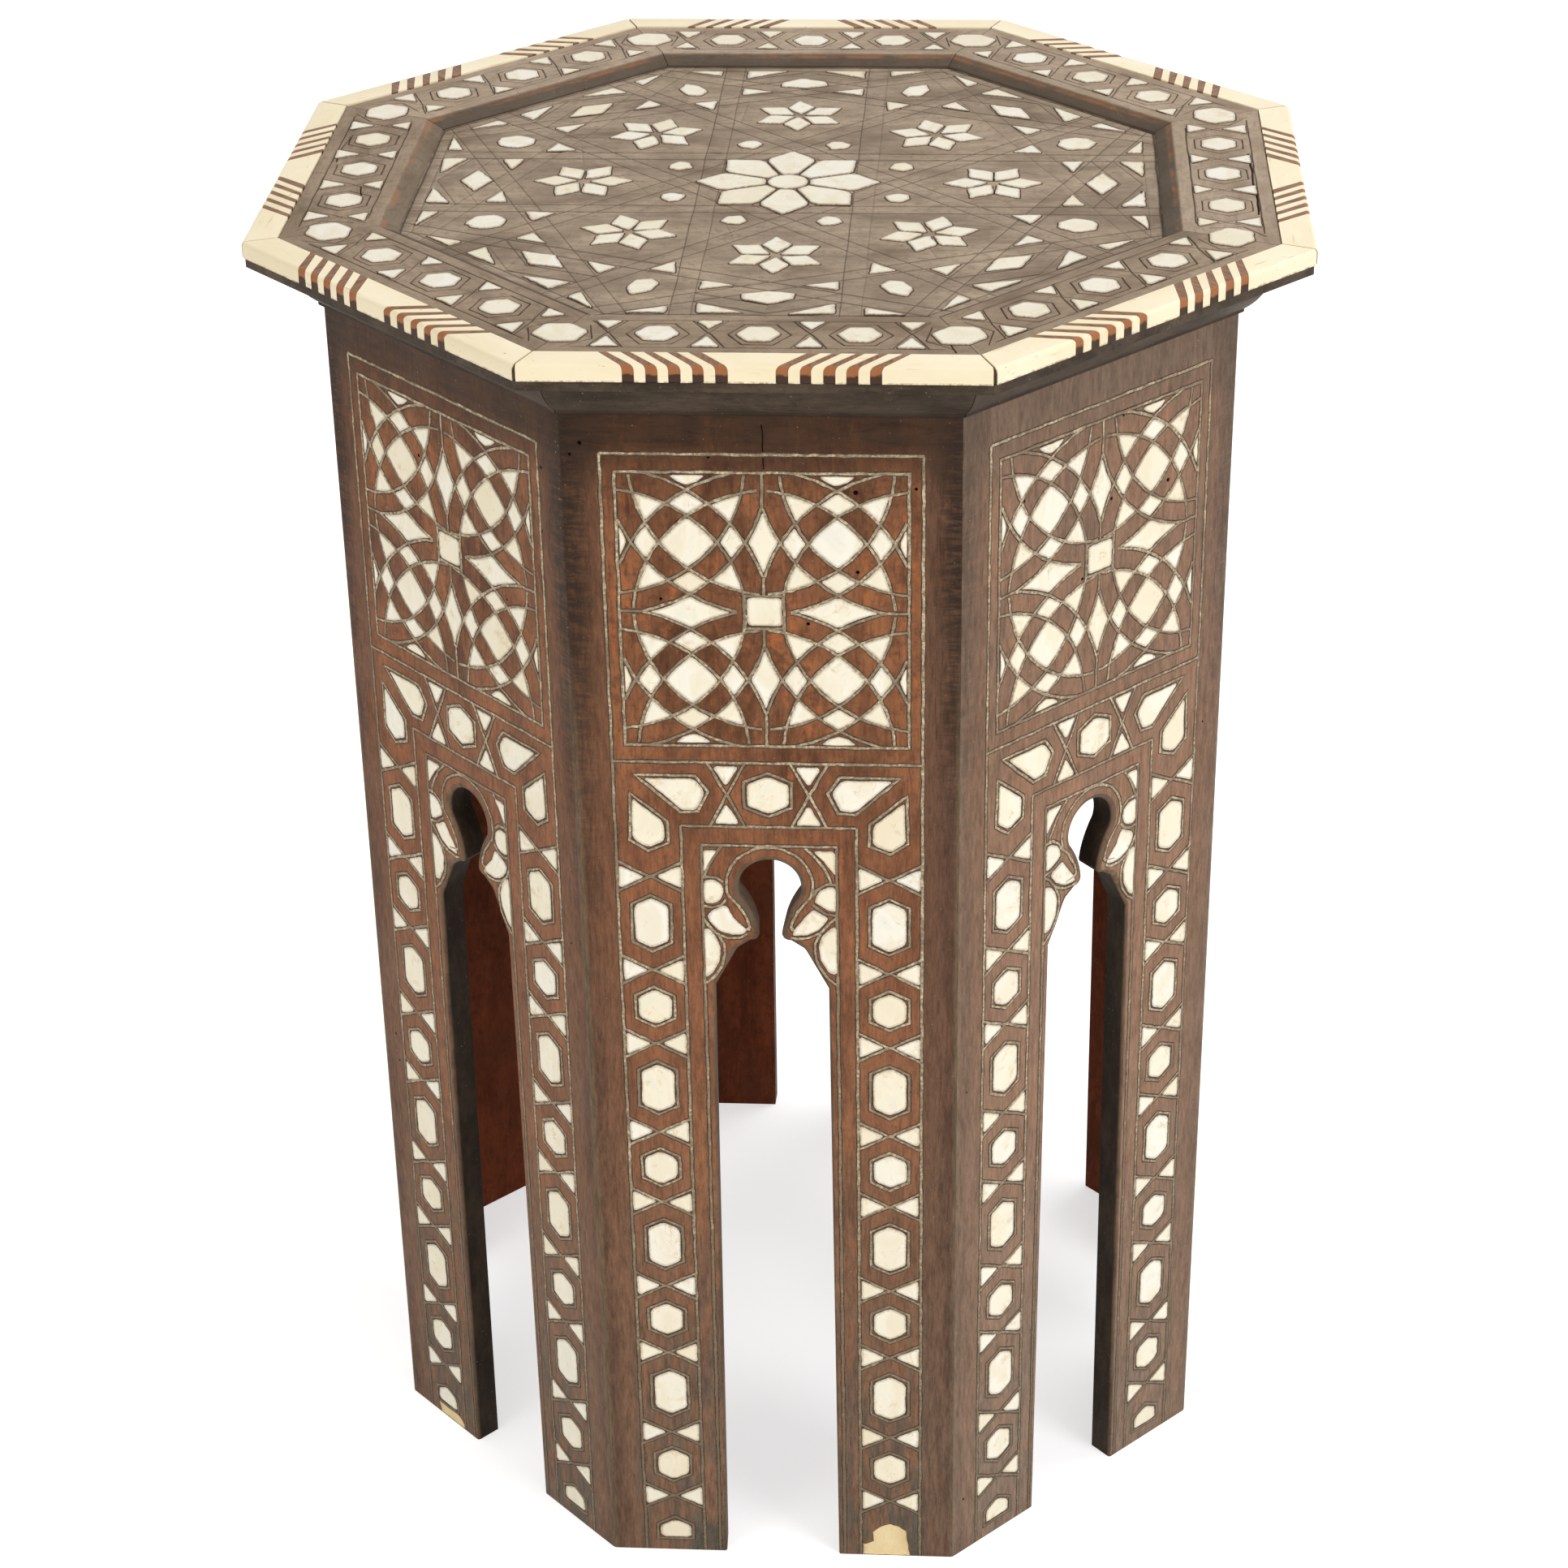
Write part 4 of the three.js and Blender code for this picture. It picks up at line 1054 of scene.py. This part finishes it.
def border_rail(side):
    rng = random.Random(900 + side)
    flat, outer = RAIL_INNER + 6, RAIL_OUTER - 0.2
    inner = flat + 0.5
    level = on_level(RAIL_TOP)
    knots = [RAIL_PITCH * k for k in (-1.5, -0.5, 0.5, 1.5)]
    hexes = [shifted(turned(hexagon(6.1, 7.2, 3.6), pi / 2), RAIL_PITCH * k, -RAIL_MIDDLE) for k in (-1, 0, 1)]
    ties = [[(x - half, end), (x + half, end), (x, tip)]
            for x in knots for half, end, tip in ((4.6, -164.3, -155.6), (4.3, -142.7, -149.6))]
    shape = Shape()
    shape.carve([(hand * reach(a), -a) for hand, a in ((-1, inner), (-1, outer), (1, outer), (1, inner))],
                level, rail_grooves(side, hexes, knots, rng), tint=0)
    # Rounded inner arris, worn down to bright wood, and the bevel towards the field, darkened by dirt and painted
    # shade: apothem, height, wear, dirt and painted shade
    profile = [(inner, RAIL_TOP, 0, 0), (flat + 0.15, RAIL_TOP - 0.05, 0, 0), (flat - 0.2, RAIL_TOP - 0.25, 0.05, 0.5),
               (flat - 0.7, RAIL_TOP - 0.7, 0.4, 0.9), (flat - 1.6, RAIL_TOP - 1.1, 0.6, 0.95),
               (flat - 2.6, RAIL_TOP - 1.55, 0, 0.95), (RAIL_INNER + 0.4, FIELD_TOP + 1.0, 0, 0.95),
               (RAIL_INNER, FIELD_TOP + 0.5, 0, 1), (RAIL_INNER, FIELD_TOP + 0.3, 0, 1),
               (RAIL_OUTER, FIELD_TOP + 0.3, 0, 0), (RAIL_OUTER, RAIL_TOP - 0.2, 0, 0), (outer, RAIL_TOP, 0, 0)]
    # The bevel of the left rail faces the key lamp, so less of its dirt and painted shade is laid on
    worn, bevel_dirt_and_shade = [wear for _, _, wear, _ in profile], [dirt_and_shade * (0.55 if side == 6 else 1) for *_, dirt_and_shade in profile]
    rows, size = 25, len(profile)
    points = [((2 * k / (rows - 1) - 1) * reach(a), -a, z) for k in range(rows) for a, z, _, _ in profile]
    faces = [[k * size + i, k * size + i + 1, (k + 1) * size + i + 1, (k + 1) * size + i]
             for k in range(rows - 1) for i in range(size - 1)]
    ends = [list(range(size)), [(rows - 1) * size + i for i in range(size)][::-1]]
    shape.add(points, faces + ends, 0, worn * rows, bevel_dirt_and_shade * rows)
    # The back and right rails take the lighter copy: a painted sheen
    kind = SHEEN_TOP_WOOD if side in (2, 3, 4, 5) else TOP_WOOD
    shape.make("border_rail_wood", [kind], side, "top_wood", "border_rail")
    shells, beds = Shape(), Shape()
    for line in hexes + ties:
        line = handmade(misplaced(line, 0.3, rng), 1.1, 2.4, 0.16, rng)
        shells.plate(line, level, PROUD - rng.uniform(0, 0.25), soft=0.16, tint=rng.random())
        beds.bed(line, level, 0.45, 0.04)
    shells.make("border_shell_inlay", [SHADED_TOP_SHELL], side, "shell")
    beds.make("border_mastic", [MASTIC], side)
    piece, bed = Shape(), Shape()
    line = [polar(9.2 if j % 3 else 8.2, radians(60 * j), RAIL_MIDDLE / LEAN) for j in range(6)]
    line = handmade(turned(line, HALF_TURN - pi / 2), 1.4, 2.4, 0.18, rng)
    piece.plate(line, level, PROUD - 0.05, root=-1.2, soft=0.18, tint=rng.random())
    piece.make("corner_shell", [SHADED_TOP_SHELL], side, "shell", "corner_hexagon_inlay")
    bed.bed(line, level, 0.5, 0.05)
    bed.make("corner_mastic", [MASTIC], side)


# Sunk field of the top


def field_chord(angle, distance):
    """A straight cut right across the field, its normal at an angle."""
    nx, ny = polar(1, angle)
    low, high = -400.0, 400.0
    for k in range(SIDES):
        sx, sy = polar(1, k * TURN)
        slope = -sx * ny + sy * nx
        room = RAIL_INNER - 0.2 - (sx * nx * distance + sy * ny * distance)
        if slope > 1e-6:
            high = min(high, room / slope)
        elif slope < -1e-6:
            low = max(low, room / slope)
    return [(nx * distance - ny * end, ny * distance + nx * end) for end in (low, high)]


# Pieces of the field, drawn about the x axis as (distance from the middle, sideways) and turned
STAR_RHOMB = [(2, 0), (9.6, 5.2), (17.8, 0.4), (10, -5.2)]
SEED = [(47, 0.2), (45.6, 3.9), (41.4, 4.3), (37.8, 0), (41.4, -4.3), (45.6, -3.9)]
SLIM = [(119.5, 0), (114, 4.6), (106.5, 4.2), (103.6, 0), (107, -4.4), (114.5, -3.9)]
BROAD = [(117, 3.8), (118.4, -1.5), (113, -6.6), (105.8, -5.2), (103.8, 0.6), (107.4, 6.2), (113.6, 6.4)]
ACROSS = [(117.5, 0.5), (113, 8.4), (108.4, 9), (106, 0), (108.4, -9), (113, -8.4)]
DART = [(95.6, 4.8), (95.6, -4.8), (86, 0)]
WEDGES = ([(97.2, 22.8), (105, 22.8), (100.8, 11.6)], [(126, 7.4), (126, 22.8), (117.4, 22.8)],
          [(126, 46), (126, 32.6), (120.4, 32.6)])
PETAL = [(7.9, 2.6), (7.9, -2.6), (21.6, -8.3), (24.5, -7.9), (32.9, 0), (24.5, 7.9), (21.6, 8.3)]


# Where the lines of the field are cut, as distances from its middle
STAR_CUTS, SQUARE_CUTS = (24.1, 31.3), (90, 97.2)
EDGE_CUT, ZIGZAG_CUTS = 126.8, (108.8, 116)
SCRATCHES = 110


def field_shells():
    outlines = []
    for k in range(SIDES):
        angle, half = k * TURN, k * TURN + HALF_TURN
        outlines += [turned(shifted(turned(STAR_RHOMB, j * pi / 3), 73, 0), angle) for j in range(6)]
        outlines.append(turned(ACROSS if k in (2, 6) else shifted(diamond(5.7, 11.2), 111.4, 0), angle))
        outlines += [turned([(x, hand * y) for x, y in wedge], angle) for hand in STEPS for wedge in WEDGES]
        outlines += [turned(SEED, half), turned(DART, half), turned(SLIM if k in (1, 2, 5, 6) else BROAD, half)]
    return outlines


def field_grooves(rng):
    """The interlaced lines, the joint round the field, and old scratches."""
    lines = []
    foot = EDGE_CUT * SLOPE
    for k in range(SIDES):
        angle = k * TURN
        lines += [field_chord(angle, d) for d in STAR_CUTS]
        lines += [field_chord(angle + HALF_TURN, d) for d in SQUARE_CUTS]
        lines.append(turned([(EDGE_CUT, -foot), (EDGE_CUT, foot)], angle))
        lines += [turned([(d / LEAN, 0), (d / LEAN - 9.94, hand * 24)], angle) for d in ZIGZAG_CUTS for hand in STEPS]
    grooves = []
    for line in lines:
        line = refined(line, 18)
        line = line[:1] + uneven(line[1:-1], 0.25, rng) + line[-1:]
        # The cuts that run from front to back are narrower and shallower
        share = abs(line[-1][1] - line[0][1]) / dist(line[0], line[-1])
        grooves.append((line, (1.5 - 0.75 * share) * rng.uniform(0.85, 1.1), rng.uniform(0.3, 0.42) - 0.24 * share))
    edge = RAIL_INNER - 0.5
    foot = edge * SLOPE
    for k in range(SIDES):
        line = uneven(refined([(-foot, -edge), (foot, -edge)], 9), 0.2, rng)
        grooves.append((turned(line, k * TURN), 1.5, 0.45))
    for _ in range(SCRATCHES):
        x, y, angle = rng.uniform(-95, 95), rng.uniform(-95, 95), rng.uniform(0, pi)
        length = rng.uniform(5, 30)
        scratch = refined([(x, y), polar(length, angle, x, y)], 8)
        grooves.append((uneven(scratch, 0.15, rng), rng.uniform(0.2, 0.4), rng.uniform(0.04, 0.1)))
    return grooves


def octagon(apothem):
    return [polar(apothem / LEAN, (2 * k + 1) * HALF_TURN) for k in range(SIDES)]


def sunk_field():
    rng = random.Random(77)
    level = on_level(FIELD_TOP)
    edge = RAIL_INNER + 2
    shape = Shape()
    shape.carve(octagon(edge), level, field_grooves(rng))
    rings = [[(x, y, z) for x, y in octagon(a)] for a, z in (
        (BOARD, BOARD_BOTTOM), (BOARD, RIM_BOTTOM), (RIM, RIM_BOTTOM), (RIM, RIM_TOP),
        (RAIL_OUTER, RIM_TOP), (RAIL_OUTER, FIELD_TOP - 0.02), (edge, FIELD_TOP))]
    # The rim under the bone takes the dark cornice wood: partly the rim's own dark colour, partly painted shade under
    # the overhanging bone
    shape.loft(rings, [1, 1, 2, 2, 2, 1, 1, 1], caps=False)
    shape.add(rings[0], [list(range(SIDES))], 1)
    shape.make("top_board_wood", [FIELD_WOOD, INNER_WOOD, CORNICE_WOOD], None, "top_wood", "top_board", weld=True)
    shells, beds, boss = Shape(), Shape(), Shape()
    for line in field_shells():
        cx, cy = middle_of(line)
        line = turned(shifted(line, -cx, -cy), rng.uniform(-0.06, 0.06))
        line = shifted(line, cx + rng.uniform(-0.4, 0.4), cy + rng.uniform(-0.4, 0.4))
        line = handmade(line, 1.1, 2.4, 0.2, rng)
        shells.plate(line, level, PROUD - rng.uniform(0, 0.15), soft=0.18, tint=rng.random())
        beds.bed(line, level, 0.5, 0.04)
    shells.make("field_shell_inlay", [SHADED_TOP_SHELL], None, "shell")
    disc = uneven(arc(0, 0, 7.1, 0, 348, 29), 0.08, rng)
    boss.plate(disc, level, PROUD, root=-0.9, soft=0.2, tint=0.2)
    boss.make("rosette_boss_shell", [SHADED_TOP_SHELL], None, "shell", "rosette_boss")
    beds.bed(disc, level, 0.7, 0.05)
    for k in range(SIDES):
        leaf = Shape()
        line = handmade(turned(PETAL, pi / 2 - k * TURN), 1.0, 2.6, 0.14, rng)
        leaf.plate(line, level, PROUD - rng.uniform(0, 0.08), root=-0.9, soft=0.2, tint=rng.random())
        leaf.make(f"rosette_petal_shell_{k + 1}", [SHADED_TOP_SHELL], None, "shell", f"rosette_petal_{k + 1}")
        beds.bed(line, level, 0.6, 0.045 + 0.001 * k)
    beds.make("field_mastic", [MASTIC])


for side in range(SIDES):
    for build in (side_panel, side_inlay, cornice, bone_edging, border_rail):
        build(side)
    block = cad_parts[f"corner_glue_block_{side + 1}"]
    block.data.materials.clear()
    block.data.materials.append(INNER_WOOD)
sunk_field()


# Floor, lights and camera

scene = bpy.context.scene


def seen_white(nodes):
    """1 for the rays of the camera, of gloss and of transmission."""
    path = nodes.node("LightPath")
    seen = nodes.math("MAXIMUM", path["Is Camera Ray"], path["Is Glossy Ray"])
    return nodes.math("MAXIMUM", seen, path["Is Transmission Ray"])


floor_look = Look("pale_floor", 0.0)
floor_look.feed(floor_look.shader, {
    "Base Color": srgb(240, 240, 240), "Roughness": 0.95, "Emission Color": (1, 1, 1, 1),
    "Emission Strength": floor_look.times(seen_white(floor_look), 0.6)})
floor_mesh = bpy.data.meshes.new("floor")
floor_mesh.from_pydata([(-9, -9, 0), (9, -9, 0), (9, 9, 0), (-9, 9, 0)], [], [(0, 1, 2, 3)])
floor_mesh.materials.append(floor_look.material)
floor = bpy.data.objects.new("floor", floor_mesh)
scene.collection.objects.link(floor)


def soft_light(name, at, size, power, colour=(1, 1, 1)):
    lamp = bpy.data.lights.new(name, "AREA")
    lamp.shape, lamp.size, lamp.energy, lamp.color = "DISK", size, power, colour
    holder = bpy.data.objects.new(name, lamp)
    holder.location = at
    holder.rotation_euler = (Vector((0, 0, 0.3)) - Vector(at)).to_track_quat("-Z", "Y").to_euler()
    scene.collection.objects.link(holder)


soft_light("key", (2.3, -1.8, 1.8), 1.6, 38)
soft_light("fill", (-2.1, -2.3, 1.3), 1.8, 20.5, (1, 0.96, 0.87))
soft_light("top", (1.3, 0.9, 2.6), 1.8, 24)

scene.world = scene.world or bpy.data.worlds.new("world")
scene.world.use_nodes = True
sky = Nodes(scene.world.node_tree)
sky.feed(sky.tree.nodes["Background"].inputs, {
    "Color": (1, 1, 1, 1), "Strength": sky.level(seen_white(sky), 0, 1, 0.55, 1.0)})

AZIMUTH, ELEVATION, ROLL = (radians(a) for a in (3.936, 29.111, -1.017))
DISTANCE, ASIDE, AIM_HEIGHT = 1.3766, -0.0052, 0.251
camera_data = bpy.data.cameras.new("camera")
camera_data.lens, camera_data.sensor_width = 81.26, 36
camera = bpy.data.objects.new("camera", camera_data)
scene.collection.objects.link(camera)
scene.camera = camera
back = Vector((sin(AZIMUTH) * cos(ELEVATION), -cos(AZIMUTH) * cos(ELEVATION), sin(ELEVATION)))
camera.location = Vector((ASIDE * cos(AZIMUTH), ASIDE * sin(AZIMUTH), AIM_HEIGHT)) + back * DISTANCE
right = Vector((0, 0, 1)).cross(back).normalized()
up = back.cross(right)
axes = (right * cos(ROLL) + up * sin(ROLL), up * cos(ROLL) - right * sin(ROLL), back)
camera.rotation_euler = Matrix(axes).transposed().to_euler()

scene.view_settings.view_transform = "Standard"
